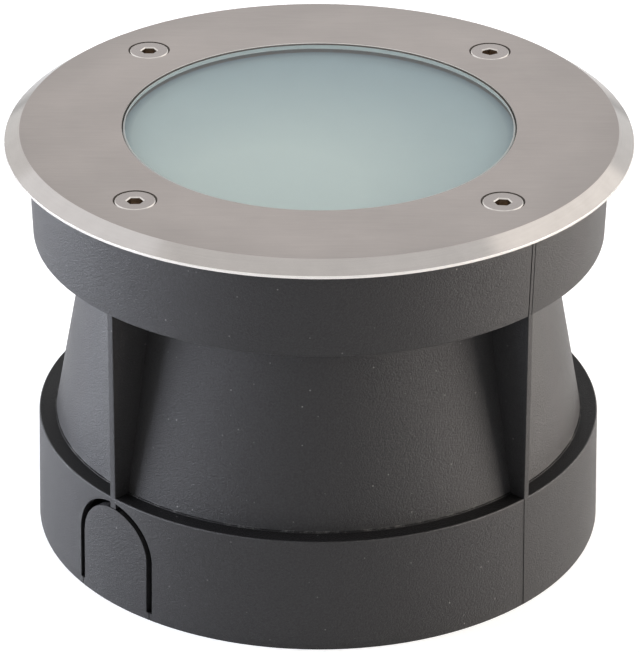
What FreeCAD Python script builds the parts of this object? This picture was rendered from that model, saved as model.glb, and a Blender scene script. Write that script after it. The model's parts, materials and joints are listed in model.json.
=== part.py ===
import FreeCAD, Part
import math
import os
import re
import Sketcher

# An in ground well light: a stainless bezel with a stepped frosted glass, a finned lamp housing
# with its light engine, and the black moulded sleeve that is set in the ground.
# The origin is on the axis at the foot of the sleeve, +Z is up and -Y faces the viewer.

V = FreeCAD.Vector

DIMENSIONS = {
    # whole light
    "overall_height": 125.0,
    "fit_clearance": 0.05,
    "seat_gap": 0.3,
    # bezel
    "bezel_radius": 90.0,
    "bezel_thickness": 4.0,
    "bezel_chamfer": 4.5,
    "bezel_rim": 0.8,
    "window_share": 0.6267,
    "bezel_overhang": 6.8,
    # bezel screws, M6 countersunk with a hex socket
    "screw_turn": 45.0,
    "screw_head_radius": 6.0,
    "screw_head_land": 0.2,
    "screw_head_gap": 0.3,
    "screw_shank_radius": 3.0,
    "screw_length": 25.0,
    "screw_point": 0.6,
    "screw_hole_gap": 0.4,
    "socket_flats": 4.0,
    "socket_depth": 2.4,
    # glass and its gaskets
    "glass_gap": 0.45,
    "glass_recess": 0.4,
    "glass_thickness": 8.0,
    "glass_flange_reach": 5.1,
    "glass_flange": 3.6,
    "glass_arris": 0.6,
    "gasket_inset": 0.3,
    "gasket_base": 1.6,
    "gasket_wall": 1.2,
    # sleeve
    "collar_draft": 1.2,
    "collar_wall": 2.8,
    "shelf_height": 93.4,
    "shelf_thickness": 3.0,
    "lamp_gap": 2.3,
    "cone_wall": 2.8,
    "foot_step_width": 0.4,
    "foot_step": 0.35,
    "ledge_width": 4.7,
    "ledge_height": 34.8,
    "ledge_thickness": 2.5,
    "ring_draft": 0.8,
    "ring_wall": 2.5,
    "web_thickness": 2.2,
    "web_inset": 0.1,
    # conduit knock-outs in the base ring
    "knockout_radius": 15.0,
    "knockout_slot": 2.0,
    "knockout_crown_gap": 1.5,
    "knockout_foot": 2.4,
    "knockout_depth": 3.6,
    # screw bosses and their brass inserts
    "boss_radius": 5.5,
    "boss_gap": 1.2,
    "insert_radius": 4.0,
    "insert_length": 12.0,
    "boss_hole_spare": 5.0,
    "seat_washer": 1.5,
    "washer_inset": 0.5,
    # lamp housing
    "flange_gap": 1.8,
    "flange_thickness": 5.0,
    "hub_wall": 1.5,
    "pocket_floor": 3.0,
    "lip_inset": 1.9,
    "throat_taper": 1.5,
    "tray_headroom": 8.0,
    "tray_ledge": 3.5,
    "cup_wall": 3.5,
    "cup_draft": 1.0,
    "cup_floor_height": 52.0,
    "cup_floor": 4.0,
    "fin_reach": 3.5,
    "fin_thickness": 2.0,
    "fin_foot_gap": 2.0,
    "stud_radius": 4.0,
    "stud_height": 4.0,
    "stud_hole_radius": 1.6,
    "stud_hole_depth": 6.0,
    # light engine
    "spreader_thickness": 3.0,
    "spreader_gap": 0.6,
    "post_inset": 3.5,
    "board_inset": 12.4,
    "board_thickness": 1.6,
    "board_screw_inset": 5.5,
    "wire_hole_radius": 3.0,
    "led_size": 5.0,
    "led_height": 0.9,
    "led_inner_share": 0.3,
    "led_outer_share": 0.65,
    "plug_share": 0.475,
    "plug_length": 8.0,
    "plug_width": 4.6,
    "plug_height": 4.2,
    "reflector_wall": 1.4,
    "reflector_seat": 1.5,
    "reflector_top_gap": 0.6,
    "reflector_headroom": 1.2,
    # small screws, pan head
    "pan_head_radius": 3.0,
    "pan_head_height": 2.2,
    "pan_shank_radius": 1.5,
    "pan_grip": 6.0,
    "pan_socket_flats": 2.5,
    # driver
    "driver_length": 60.0,
    "driver_width": 32.0,
    "driver_height": 20.0,
    "driver_y": 14.0,
    "driver_lid": 2.0,
    "driver_ear": 8.0,
    "ear_thickness": 2.5,
    "ear_width": 9.0,
    "case_edge": 1.5,
    # terminal block
    "terminal_wall_gap": 31.5,
    "terminal_y": -22.0,
    "terminal_length": 28.0,
    "terminal_width": 16.0,
    "terminal_height": 16.0,
    "terminal_ear": 7.0,
    "terminal_pitch": 9.0,
    "terminal_screw_radius": 2.0,
    "terminal_screw_height": 6.0,
    "terminal_wire_radius": 1.8,
    # earth point
    "earth_wall_gap": 8.5,
    "earth_washer_radius": 3.9,
    "earth_washer": 0.8,
    # cable gland
    "gland_wall_gap": 28.5,
    "gland_y": -24.0,
    "gland_thread_radius": 9.8,
    "gland_thread_spare": 2.5,
    "gland_bore_radius": 7.0,
    "gland_hex_flats": 24.0,
    "gland_hex_height": 5.0,
    "gland_neck_radius": 9.0,
    "gland_neck": 8.0,
    "gland_seal": 1.5,
    "gland_seal_radius": 13.0,
    "gland_cap_flats": 24.0,
    "gland_cap_end": 3.0,
    "gland_insert_length": 7.0,
    "cable_radius": 4.0,
    "cable_entry_gap": 0.6,
    # breather
    "breather_wall_gap": 8.5,
    "breather_y": -2.0,
    "breather_thread_radius": 5.0,
    "breather_cap_radius": 7.5,
    "breather_cap_height": 4.0,
    "breather_spare": 1.5,
    "breather_bore_radius": 2.0,
}

# Places worked out from the driving dimensions, each from names above it.
PLACES = {
    "bezel_underside": "overall_height - bezel_thickness",
    "aperture_radius": "bezel_radius * window_share",
    "countersink_radius": "screw_head_radius + screw_head_gap",
    "screw_hole_radius": "screw_shank_radius + screw_hole_gap",
    "head_land_foot": "overall_height - screw_head_gap + fit_clearance",
    "head_top": "head_land_foot + screw_head_land",
    "head_cone_foot": "head_land_foot - screw_head_radius + screw_shank_radius",
    "screw_end": "head_top - screw_length",
    "glass_top": "overall_height - glass_recess",
    "glass_foot": "glass_top - glass_thickness",
    "glass_step": "glass_foot + glass_flange",
    "glass_boss_radius": "aperture_radius - glass_gap",
    "glass_flange_radius": "aperture_radius + glass_flange_reach",
    "pocket_base": "glass_foot - gasket_base",
    "gasket_outer_radius": "glass_flange_radius + seat_gap + gasket_wall",
    "pocket_radius": "gasket_outer_radius + seat_gap",
    "hub_radius": "pocket_radius + hub_wall",
    "screw_circle": "hub_radius + boss_gap + boss_radius",
    "flange_underside": "bezel_underside - flange_thickness",
    "hub_foot": "pocket_base - pocket_floor",
    "boss_top": "flange_underside - seat_washer",
    "insert_foot": "boss_top - insert_length",
    "collar_top_radius": "bezel_radius - bezel_overhang",
    "collar_foot_radius": "collar_top_radius - collar_draft",
    "flange_radius": "collar_top_radius - collar_wall - flange_gap",
    "ring_foot_radius": "bezel_radius - bezel_overhang",
    "ring_top_radius": "ring_foot_radius - ring_draft",
    "foot_step_radius": "ring_top_radius - ledge_width",
    "cone_foot_radius": "foot_step_radius - foot_step_width",
    "shelf_top": "shelf_height + shelf_thickness",
    "ledge_foot": "ledge_height - ledge_thickness",
    "knockout_centre": "ledge_height - knockout_crown_gap - knockout_radius",
    "knockout_inner_radius": "knockout_radius - knockout_slot",
    "cup_foot": "cup_floor_height - cup_floor",
    "lip_radius": "aperture_radius - lip_inset",
    "ledge_inner_radius": "lip_radius - throat_taper",
    "well_radius": "ledge_inner_radius - tray_ledge",
    "well_foot_radius": "well_radius - cup_draft",
    "cup_foot_radius": "well_foot_radius + cup_wall",
    "cup_neck_radius": "lip_radius + cup_wall",
    "fin_radius": "cup_neck_radius + fin_reach",
    "cone_top_radius": "fin_radius + lamp_gap + cone_wall",
    "stud_top": "cup_floor_height + stud_height",
    "tray_height": "stud_top + driver_height + tray_headroom",
    "spreader_radius": "ledge_inner_radius - spreader_gap",
    "spreader_top": "tray_height + spreader_thickness",
    "spreader_screw_circle": "well_radius - post_inset",
    "board_radius": "spreader_radius - board_inset",
    "board_screw_circle": "board_radius - board_screw_inset",
    "led_inner_circle": "board_radius * led_inner_share",
    "led_outer_circle": "board_radius * led_outer_share",
    "plug_radius": "board_radius * plug_share",
    "board_top": "spreader_top + board_thickness",
    "reflector_foot_radius": "board_radius - reflector_seat",
    "reflector_top": "pocket_base - reflector_headroom",
    "reflector_top_radius": "lip_radius - reflector_top_gap",
    "driver_screw_x": "driver_length / 2 + driver_ear / 2",
    "terminal_screw_reach": "terminal_width / 2 + terminal_ear / 2",
    "terminal_x": "terminal_wall_gap - well_foot_radius",
    "earth_y": "earth_wall_gap - well_foot_radius",
    "gland_x": "well_foot_radius - gland_wall_gap",
    "breather_x": "breather_wall_gap - well_foot_radius",
    "driver_case_top": "stud_top + driver_height - driver_lid",
    "terminal_top": "stud_top + terminal_height",
    "gland_body_top": "cup_foot - gland_seal",
    "gland_hex_foot": "gland_body_top - gland_hex_height",
    "gland_neck_foot": "gland_hex_foot - gland_neck",
    "gland_cap_top": "gland_hex_foot - seat_gap",
    "gland_insert_foot": "gland_neck_foot - seat_gap",
    "gland_cap_foot": "gland_insert_foot - gland_cap_end",
    "gland_cap_bore": "gland_neck_radius + fit_clearance",
    "gland_insert_radius": "gland_bore_radius - fit_clearance",
}

SCREW_COUNT = 4
WEB_COUNT = 4
FIN_COUNT = 24
SPREADER_SCREW_COUNT = 3
BOARD_SCREW_COUNT = 3
INNER_LED_COUNT = 6
OUTER_LED_COUNT = 12
TERMINAL_POLES = 3
FULL_TURN = 360.0
HEX_SIDES = 6
SAME_LENGTH = 1e-4
SAME_DIRECTION = 1e-6
# how far each hex socket happens to be turned, in degrees, in the order of the screws
SOCKET_TURNS = (30.0, 0.0, 2.0, -6.0)

doc = FreeCAD.newDocument("WellLight")
sheet = doc.addObject("Spreadsheet::Sheet", "Dimensions")
for row, (alias, size) in enumerate(DIMENSIONS.items(), start=1):
    sheet.set(f"A{row}", str(size))
    sheet.setAlias(f"A{row}", alias)
doc.recompute()
places = doc.addObject("App::VarSet", "Places")
nodes = []


def bound(expression):
    """Return an expression with each size's name led by the object that holds it."""
    def owner(match):
        word = match.group(0)
        if word in DIMENSIONS:
            return "Dimensions." + word
        if word in PLACES:
            return "Places." + word
        return word
    return re.sub(r"[a-z_]+[a-z0-9_]*", owner, str(expression))


for place, rule in PLACES.items():
    places.addProperty("App::PropertyFloat", place, "Places", rule)
    places.setExpression(place, bound(rule))
    doc.recompute()
asked = doc.addObject("App::VarSet", "Asked")
asked.addProperty("App::PropertyFloat", "answer", "Asked", "the last amount that was asked for")


def amount(expression):
    """Work out what an expression comes to."""
    asked.setExpression("answer", bound(expression))
    asked.recompute()
    return asked.answer


def around(circle, count, index, start="0"):
    """Return the x and y expressions of one place out of several on a circle."""
    angle = f"({start} + {index} * {FULL_TURN} / {count})"
    return f"{circle} * cos({angle} * 1 deg)", f"{circle} * sin({angle} * 1 deg)"


def new_body(label):
    """Start the body of one piece."""
    body = doc.addObject("PartDesign::Body", label)
    nodes.append(body)
    return body


def new_sketch(body, role, height="0", turn="0", reach="0"):
    """Attach a sketch to one of the body's planes, raised, turned about the axis or moved outwards."""
    sketch = body.newObject("Sketcher::SketchObject", "Sketch")
    origin_plane = [item for item in body.Origin.OriginFeatures if item.Role == role][0]
    sketch.AttachmentSupport = (origin_plane, [""])
    sketch.MapMode = "FlatFace"
    if role == "XY_Plane":
        sketch.setExpression("AttachmentOffset.Base.z", bound(height))
    else:
        sketch.AttachmentOffset = FreeCAD.Placement(V(), FreeCAD.Rotation(V(0, 1, 0), 1))
        angle = f"({bound(turn)}) * 1 deg"
        sketch.setExpression("AttachmentOffset.Rotation.Angle", angle)
        sketch.setExpression("AttachmentOffset.Base.x", f"({bound(reach)}) * sin({angle})")
        sketch.setExpression("AttachmentOffset.Base.z", f"({bound(reach)}) * cos({angle})")
    return sketch


def hold(sketch, kind, geometry, point, expression):
    """Set a point's distance from the sketch's origin along one axis."""
    start = amount(expression)
    index = sketch.addConstraint(Sketcher.Constraint(kind, -1, 1, geometry, point, start))
    sketch.setExpression(f"Constraints[{index}]", bound(expression))


def hold_radius(sketch, geometry, expression):
    """Set the radius of a circle or an arc."""
    index = sketch.addConstraint(Sketcher.Constraint("Radius", geometry, amount(expression)))
    sketch.setExpression(f"Constraints[{index}]", bound(expression))


def add_outline(sketch, points):
    """Draw a closed outline of straight edges through the given points."""
    first = sketch.GeometryCount
    count = len(points)
    corners = [V(amount(across), amount(up), 0) for across, up in points]
    for k in range(count):
        sketch.addGeometry(Part.LineSegment(corners[k], corners[(k + 1) % count]))
    for k in range(count):
        following = first + (k + 1) % count
        sketch.addConstraint(Sketcher.Constraint("Coincident", first + k, 2, following, 1))
    for k, (across, up) in enumerate(points):
        hold(sketch, "DistanceX", first + k, 1, across)
        hold(sketch, "DistanceY", first + k, 1, up)


def add_circle(sketch, centre, radius):
    """Draw one circle."""
    middle = V(amount(centre[0]), amount(centre[1]), 0)
    index = sketch.addGeometry(Part.Circle(middle, V(0, 0, 1), amount(radius)))
    hold(sketch, "DistanceX", index, 3, centre[0])
    hold(sketch, "DistanceY", index, 3, centre[1])
    hold_radius(sketch, index, radius)


def revolve(body, points):
    """Turn an outline about the body's axis."""
    sketch = new_sketch(body, "XZ_Plane")
    add_outline(sketch, points)
    feature = body.newObject("PartDesign::Revolution", "Turned")
    feature.Profile = sketch
    feature.ReferenceAxis = (sketch, ["V_Axis"])
    feature.Angle = FULL_TURN
    return feature


def pad(body, sketch, length, symmetric=False):
    """Raise a sketch into solid material."""
    feature = body.newObject("PartDesign::Pad", "Raised")
    feature.Profile = sketch
    feature.SideType = "Symmetric" if symmetric else "One side"
    feature.setExpression("Length", bound(length))
    doc.recompute()
    return feature


def pocket(body, sketch, length):
    """Sink a sketch into the body, and make sure that it cut something."""
    doc.recompute()
    before = body.Tip.Shape.Volume
    feature = body.newObject("PartDesign::Pocket", "Sunk")
    feature.Profile = sketch
    feature.Reversed = False
    feature.setExpression("Length", bound(length))
    doc.recompute()
    if feature.Shape.Volume >= before:
        raise RuntimeError(f"{body.Label}: a pocket cut nothing")
    return feature


def raise_circles(body, centres, radius, foot, height):
    """Add round bosses that stand on a level."""
    sketch = new_sketch(body, "XY_Plane", foot)
    for centre in centres:
        add_circle(sketch, centre, radius)
    return pad(body, sketch, height)


def sink_circles(body, centres, radius, top, depth):
    """Cut round holes downwards from a level."""
    sketch = new_sketch(body, "XY_Plane", top)
    for centre in centres:
        add_circle(sketch, centre, radius)
    return pocket(body, sketch, depth)


def hexagon_points(flats, centre=("0", "0")):
    """Return the corners of a hexagon, given its size across flats."""
    corner = f"({flats}) / sqrt(3)"
    places_round = [around(corner, HEX_SIDES, k) for k in range(HEX_SIDES)]
    return [(f"{centre[0]} + {x}", f"{centre[1]} + {y}") for x, y in places_round]


def rectangle_points(length, width, centre=("0", "0")):
    """Return the corners of a rectangle about a centre."""
    signs = ((-1, -1), (1, -1), (1, 1), (-1, 1))
    return [(f"{centre[0]} + {i} * {length} / 2", f"{centre[1]} + {j} * {width} / 2") for i, j in signs]


def repeat(body, features, count):
    """Repeat features evenly about the axis."""
    pattern = body.newObject("PartDesign::PolarPattern", "Round")
    pattern.Originals = features
    axis = [item for item in body.Origin.OriginFeatures if item.Role == "Z_Axis"][0]
    pattern.Axis = (axis, [""])
    pattern.Angle = FULL_TURN
    pattern.Occurrences = count
    body.Tip = pattern
    doc.recompute()
    return pattern


def dress(body, kind, size, wanted):
    """Fillet or chamfer the edges of the body that a test picks out."""
    doc.recompute()
    base = body.Tip
    names = [f"Edge{k}" for k, edge in enumerate(base.Shape.Edges, start=1) if wanted(edge)]
    if not names:
        raise RuntimeError(f"{body.Label}: no edge to dress")
    feature = body.newObject("PartDesign::" + kind, kind)
    feature.Base = (base, names)
    feature.setExpression("Radius" if kind == "Fillet" else "Size", bound(size))
    doc.recompute()
    return feature


def is_circle(edge, radius, height):
    """Tell whether an edge is a level circle of that radius at that height."""
    curve = edge.Curve
    if not isinstance(curve, Part.Circle):
        return False
    return abs(curve.Radius - radius) < SAME_LENGTH and abs(curve.Center.z - height) < SAME_LENGTH


def is_upright(edge):
    """Tell whether an edge is a straight vertical line."""
    if not isinstance(edge.Curve, Part.Line):
        return False
    return abs(abs(edge.tangentAt(edge.FirstParameter).z) - 1) < SAME_DIRECTION


def place_at(piece, x="0", y="0", z="0"):
    """Bind a piece's position to the sizes."""
    piece.setExpression("Placement.Base.x", bound(x))
    piece.setExpression("Placement.Base.y", bound(y))
    piece.setExpression("Placement.Base.z", bound(z))


def cylinder(radius, height, x, y, z):
    """Make a plain cylinder that stands at a place."""
    piece = doc.addObject("Part::Cylinder", "Cylinder")
    piece.setExpression("Radius", bound(radius))
    piece.setExpression("Height", bound(height))
    place_at(piece, x, y, z)
    return piece


def box(length, width, height, x, y, z):
    """Make a plain box with its foot centred on a place."""
    piece = doc.addObject("Part::Box", "Box")
    piece.setExpression("Length", bound(length))
    piece.setExpression("Width", bound(width))
    piece.setExpression("Height", bound(height))
    place_at(piece, f"{x} - {length} / 2", f"{y} - {width} / 2", z)
    return piece


def cut(base, tool):
    """Take one plain shape away from another."""
    piece = doc.addObject("Part::Cut", "Ring")
    piece.Base = base
    piece.Tool = tool
    return piece


def pan_screw(x, y, seat):
    """Make a pan head screw with a hex socket, seated at a height."""
    head = cylinder("pan_head_radius", "pan_head_height", x, y, seat)
    shank = cylinder("pan_shank_radius", "pan_grip", x, y, f"{seat} - pan_grip")
    blank = doc.addObject("Part::MultiFuse", "Blank")
    blank.Shapes = [head, shank]
    key = doc.addObject("Part::Prism", "Key")
    key.Polygon = HEX_SIDES
    key.setExpression("Circumradius", bound("pan_socket_flats / sqrt(3)"))
    key.setExpression("Height", bound("pan_head_height"))
    place_at(key, x, y, f"{seat} + pan_head_height / 2")
    return cut(blank, key)


def group(label, members):
    """Keep separate solids together as one node."""
    compound = doc.addObject("Part::Compound", label)
    compound.Links = members
    nodes.append(compound)
    return compound


def bezel_screw_places():
    """Return the centres of the bezel screws."""
    return [around("screw_circle", SCREW_COUNT, k, "screw_turn") for k in range(SCREW_COUNT)]


def web_points():
    """Return the side outline of one web, down to the tab that holds the knock-out."""
    tab_foot = "knockout_centre + knockout_inner_radius - seat_gap"
    tab_inner = "ring_top_radius - ring_wall + seat_gap"
    return [
        ("cone_top_radius - cone_wall / 2", "shelf_height + shelf_thickness / 2"),
        ("collar_foot_radius - web_inset", "shelf_height + shelf_thickness / 2"),
        ("ring_top_radius - web_inset", "ledge_height"),
        ("ring_top_radius - web_inset", tab_foot),
        (tab_inner, tab_foot),
        (tab_inner, "ledge_height - ledge_thickness / 2"),
        ("cone_foot_radius - cone_wall / 2", "ledge_height - ledge_thickness / 2"),
    ]


def add_arch(sketch, radius):
    """Draw one edge of the knock-out's slot, two legs and an arc, and return the legs' numbers."""
    reach = amount(radius)
    foot = amount("knockout_foot")
    crown = V(0, amount("knockout_centre"), 0)
    arc_shape = Part.ArcOfCircle(Part.Circle(crown, V(0, 0, 1), reach), 0, math.pi)
    right = sketch.addGeometry(Part.LineSegment(V(reach, foot, 0), V(reach, crown.y, 0)))
    arc = sketch.addGeometry(arc_shape)
    left = sketch.addGeometry(Part.LineSegment(V(-reach, crown.y, 0), V(-reach, foot, 0)))
    sketch.addConstraint(Sketcher.Constraint("Coincident", right, 2, arc, 1))
    sketch.addConstraint(Sketcher.Constraint("Coincident", arc, 2, left, 1))
    hold(sketch, "DistanceX", arc, 3, "0")
    hold(sketch, "DistanceY", arc, 3, "knockout_centre")
    hold_radius(sketch, arc, radius)
    for leg, top, low, side in ((right, 2, 1, 1), (left, 1, 2, -1)):
        hold(sketch, "DistanceX", leg, low, f"{side} * {radius}")
        hold(sketch, "DistanceY", leg, low, "knockout_foot")
        hold(sketch, "DistanceY", leg, top, "knockout_centre")
    return right, left


def cut_knockout(body, side):
    """Cut one arch-shaped slot through the base ring from outside, at an angle in degrees."""
    start = "ring_foot_radius + seat_gap"
    sketch = new_sketch(body, "XZ_Plane", turn=f"screw_turn + {side} + 90", reach=start)
    outer = add_arch(sketch, "knockout_radius")
    inner = add_arch(sketch, "knockout_inner_radius")
    foot = amount("knockout_foot")
    for outer_leg, inner_leg, point, side in zip(outer, inner, (1, 2), (1, -1)):
        start_point = V(side * amount("knockout_radius"), foot, 0)
        end_point = V(side * amount("knockout_inner_radius"), foot, 0)
        closing = sketch.addGeometry(Part.LineSegment(start_point, end_point))
        sketch.addConstraint(Sketcher.Constraint("Coincident", closing, 1, outer_leg, point))
        sketch.addConstraint(Sketcher.Constraint("Coincident", closing, 2, inner_leg, point))
    pocket(body, sketch, f"{start} - ring_top_radius + knockout_depth")


def mounting_sleeve():
    """One black moulding: collar, shelf, cone, webs, ledge, base ring, bosses, knock-outs."""
    body = new_body("mounting_sleeve")
    revolve(body, [
        ("ring_foot_radius", "0"),
        ("ring_top_radius", "ledge_height"),
        ("foot_step_radius", "ledge_height"),
        ("foot_step_radius", "ledge_height + foot_step"),
        ("cone_foot_radius", "ledge_height + foot_step"),
        ("cone_top_radius", "shelf_height"),
        ("collar_foot_radius", "shelf_height"),
        ("collar_top_radius", "bezel_underside"),
        ("collar_top_radius - collar_wall", "bezel_underside"),
        ("collar_foot_radius - collar_wall", "shelf_top"),
        ("cone_top_radius - cone_wall", "shelf_top"),
        ("cone_foot_radius - cone_wall", "ledge_foot"),
        ("ring_top_radius - ring_wall", "ledge_foot"),
        ("ring_foot_radius - ring_wall", "0"),
    ])
    for side in (0.0, FULL_TURN / 2):
        cut_knockout(body, side)
    web = new_sketch(body, "XZ_Plane", turn="screw_turn")
    add_outline(web, web_points())
    raised = pad(body, web, "web_thickness", symmetric=True)
    repeat(body, [raised], WEB_COUNT)
    shelf_middle = "shelf_height + shelf_thickness / 2"
    centres = bezel_screw_places()
    raise_circles(body, centres, "boss_radius", shelf_middle, f"boss_top - ({shelf_middle})")
    hole = "insert_radius + fit_clearance"
    sink_circles(body, centres, hole, "boss_top", "insert_length + boss_hole_spare")


def threaded_inserts():
    """Four brass inserts pressed into the sleeve's bosses."""
    inserts = []
    for x, y in bezel_screw_places():
        outer = cylinder("insert_radius", "insert_length", x, y, "insert_foot")
        bore = cylinder("screw_shank_radius + fit_clearance", "insert_length", x, y, "insert_foot")
        inserts.append(cut(outer, bore))
    group("threaded_inserts", inserts)


def seat_washers():
    """Four rubber washers between the sleeve's bosses and the housing's flange."""
    washers = []
    for x, y in bezel_screw_places():
        outer = cylinder("boss_radius - washer_inset", "seat_washer", x, y, "boss_top")
        bore = cylinder("screw_hole_radius", "seat_washer", x, y, "boss_top")
        washers.append(cut(outer, bore))
    group("seat_washers", washers)


def bezel():
    """Stainless plate with a wide chamfer, a round window and four countersunk holes."""
    body = new_body("bezel")
    revolve(body, [
        ("aperture_radius", "bezel_underside"),
        ("bezel_radius", "bezel_underside"),
        ("bezel_radius", "bezel_underside + bezel_rim"),
        ("bezel_radius - bezel_chamfer", "overall_height"),
        ("aperture_radius", "overall_height"),
    ])
    sink_circles(body, bezel_screw_places(), "screw_hole_radius", "overall_height", "bezel_thickness")
    dress(body, "Chamfer", "countersink_radius - screw_hole_radius",
          lambda edge: is_circle(edge, places.screw_hole_radius, sheet.overall_height))


def bezel_screw(index):
    """One countersunk screw with a hex socket, through the bezel into its insert."""
    body = new_body(f"bezel_screw_{index + 1}")
    revolve(body, [
        ("0", "screw_end"),
        ("screw_shank_radius - screw_point", "screw_end"),
        ("screw_shank_radius", "screw_end + screw_point"),
        ("screw_shank_radius", "head_cone_foot"),
        ("screw_head_radius", "head_land_foot"),
        ("screw_head_radius", "head_top"),
        ("0", "head_top"),
    ])
    socket = new_sketch(body, "XY_Plane", "head_top")
    add_outline(socket, hexagon_points("socket_flats"))
    pocket(body, socket, "socket_depth")
    body.Placement = FreeCAD.Placement(V(), FreeCAD.Rotation(V(0, 0, 1), SOCKET_TURNS[index]))
    place_at(body, *bezel_screw_places()[index])


def glass_lens():
    """Toughened glass whose raised middle fills the bezel's window."""
    body = new_body("glass_lens")
    revolve(body, [
        ("0", "glass_foot"),
        ("glass_flange_radius", "glass_foot"),
        ("glass_flange_radius", "glass_step"),
        ("glass_boss_radius", "glass_step"),
        ("glass_boss_radius", "glass_top"),
        ("0", "glass_top"),
    ])
    dress(body, "Chamfer", "glass_arris",
          lambda edge: is_circle(edge, places.glass_boss_radius, places.glass_top))


def lens_gasket_upper():
    """Flat silicone ring between the glass flange and the bezel."""
    body = new_body("lens_gasket_upper")
    revolve(body, [
        ("aperture_radius + gasket_inset", "glass_step"),
        ("glass_flange_radius", "glass_step"),
        ("glass_flange_radius", "bezel_underside"),
        ("aperture_radius + gasket_inset", "bezel_underside"),
    ])


def lens_gasket_lower():
    """Silicone ring of L section under and round the glass flange."""
    body = new_body("lens_gasket_lower")
    revolve(body, [
        ("aperture_radius", "pocket_base"),
        ("gasket_outer_radius", "pocket_base"),
        ("gasket_outer_radius", "glass_step"),
        ("gasket_outer_radius - gasket_wall", "glass_step"),
        ("gasket_outer_radius - gasket_wall", "glass_foot"),
        ("aperture_radius", "glass_foot"),
    ])


def stud_places():
    """Return the places of the low studs on the housing's floor."""
    driver = [(f"{side} * driver_screw_x", "driver_y") for side in ("-1", "1")]
    terminal = [("terminal_x", f"terminal_y + {side} * terminal_screw_reach") for side in ("-1", "1")]
    return driver + terminal + [("0", "earth_y")]


def spreader_screw_places():
    """Return the places of the screws that hold the heat spreader."""
    quarter = FULL_TURN / 4
    return [around("spreader_screw_circle", SPREADER_SCREW_COUNT, k, quarter)
            for k in range(SPREADER_SCREW_COUNT)]


def board_screw_places():
    """Return the places of the screws that hold the LED board, between those of the spreader."""
    offset = FULL_TURN / 4 + FULL_TURN / 2
    return [around("board_screw_circle", BOARD_SCREW_COUNT, k, offset) for k in range(BOARD_SCREW_COUNT)]


def lamp_housing():
    """Die-cast aluminium cup with cooling fins, a flange under the bezel and a pocket for the glass."""
    body = new_body("lamp_housing")
    revolve(body, [
        ("0", "cup_foot"),
        ("cup_foot_radius", "cup_foot"),
        ("cup_neck_radius", "hub_foot"),
        ("hub_radius", "hub_foot"),
        ("hub_radius", "flange_underside"),
        ("flange_radius", "flange_underside"),
        ("flange_radius", "bezel_underside"),
        ("pocket_radius", "bezel_underside"),
        ("pocket_radius", "pocket_base"),
        ("lip_radius", "pocket_base"),
        ("ledge_inner_radius", "tray_height"),
        ("well_radius", "tray_height"),
        ("well_foot_radius", "cup_floor_height"),
        ("0", "cup_floor_height"),
    ])
    fin = new_sketch(body, "XZ_Plane", turn=FULL_TURN / FIN_COUNT / 2)
    add_outline(fin, [
        ("well_foot_radius + cup_wall / 2", "cup_foot + fin_foot_gap"),
        ("fin_radius - cup_draft", "cup_foot + fin_foot_gap"),
        ("fin_radius", "hub_foot + pocket_floor / 2"),
        ("lip_radius + cup_wall / 2", "hub_foot + pocket_floor / 2"),
    ])
    raised = pad(body, fin, "fin_thickness", symmetric=True)
    repeat(body, [raised], FIN_COUNT)
    floor_middle = "cup_floor_height - cup_floor / 2"
    raise_circles(body, stud_places(), "stud_radius", floor_middle, f"stud_top - ({floor_middle})")
    posts = spreader_screw_places()
    raise_circles(body, posts, "stud_radius", floor_middle, f"tray_height - ({floor_middle})")
    sink_circles(body, stud_places(), "stud_hole_radius", "stud_top", "stud_hole_depth")
    sink_circles(body, posts, "stud_hole_radius", "tray_height", "stud_hole_depth")
    sink_circles(body, bezel_screw_places(), "screw_hole_radius", "bezel_underside", "flange_thickness")
    gland_hole = "gland_thread_radius + fit_clearance"
    sink_circles(body, [("gland_x", "gland_y")], gland_hole, "cup_floor_height", "cup_floor")
    vent_hole = "breather_thread_radius + fit_clearance"
    sink_circles(body, [("breather_x", "breather_y")], vent_hole, "cup_floor_height", "cup_floor")


def heat_spreader():
    """Aluminium plate that stands on the housing's ledge and carries the LED board."""
    body = new_body("heat_spreader")
    raise_circles(body, [("0", "0")], "spreader_radius", "tray_height", "spreader_thickness")
    holes = spreader_screw_places() + board_screw_places()
    sink_circles(body, holes, "stud_hole_radius", "spreader_top", "spreader_thickness")
    sink_circles(body, [("0", "0")], "wire_hole_radius", "spreader_top", "spreader_thickness")


def led_board():
    """Round metal-core board."""
    body = new_body("led_board")
    raise_circles(body, [("0", "0")], "board_radius", "spreader_top", "board_thickness")
    sink_circles(body, board_screw_places(), "stud_hole_radius", "board_top", "board_thickness")
    sink_circles(body, [("0", "0")], "wire_hole_radius", "board_top", "board_thickness")


def led_packages():
    """Two rings of square LED packages on the board."""
    rings = ((INNER_LED_COUNT, "led_inner_circle"), (OUTER_LED_COUNT, "led_outer_circle"))
    packages = []
    for count, circle in rings:
        for k in range(count):
            x, y = around(circle, count, k)
            packages.append(box("led_size", "led_size", "led_height", x, y, "board_top"))
    group("led_packages", packages)


def board_plug():
    """Small two-pole connector on the board."""
    piece = box("plug_length", "plug_width", "plug_height", "0", "-plug_radius", "board_top")
    piece.Label = "board_plug"
    nodes.append(piece)


def reflector():
    """White mixing cone that stands on the board's edge, under the glass."""
    body = new_body("reflector")
    revolve(body, [
        ("reflector_foot_radius", "board_top"),
        ("reflector_foot_radius + reflector_wall", "board_top"),
        ("reflector_top_radius", "reflector_top"),
        ("reflector_top_radius - reflector_wall", "reflector_top"),
    ])


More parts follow.
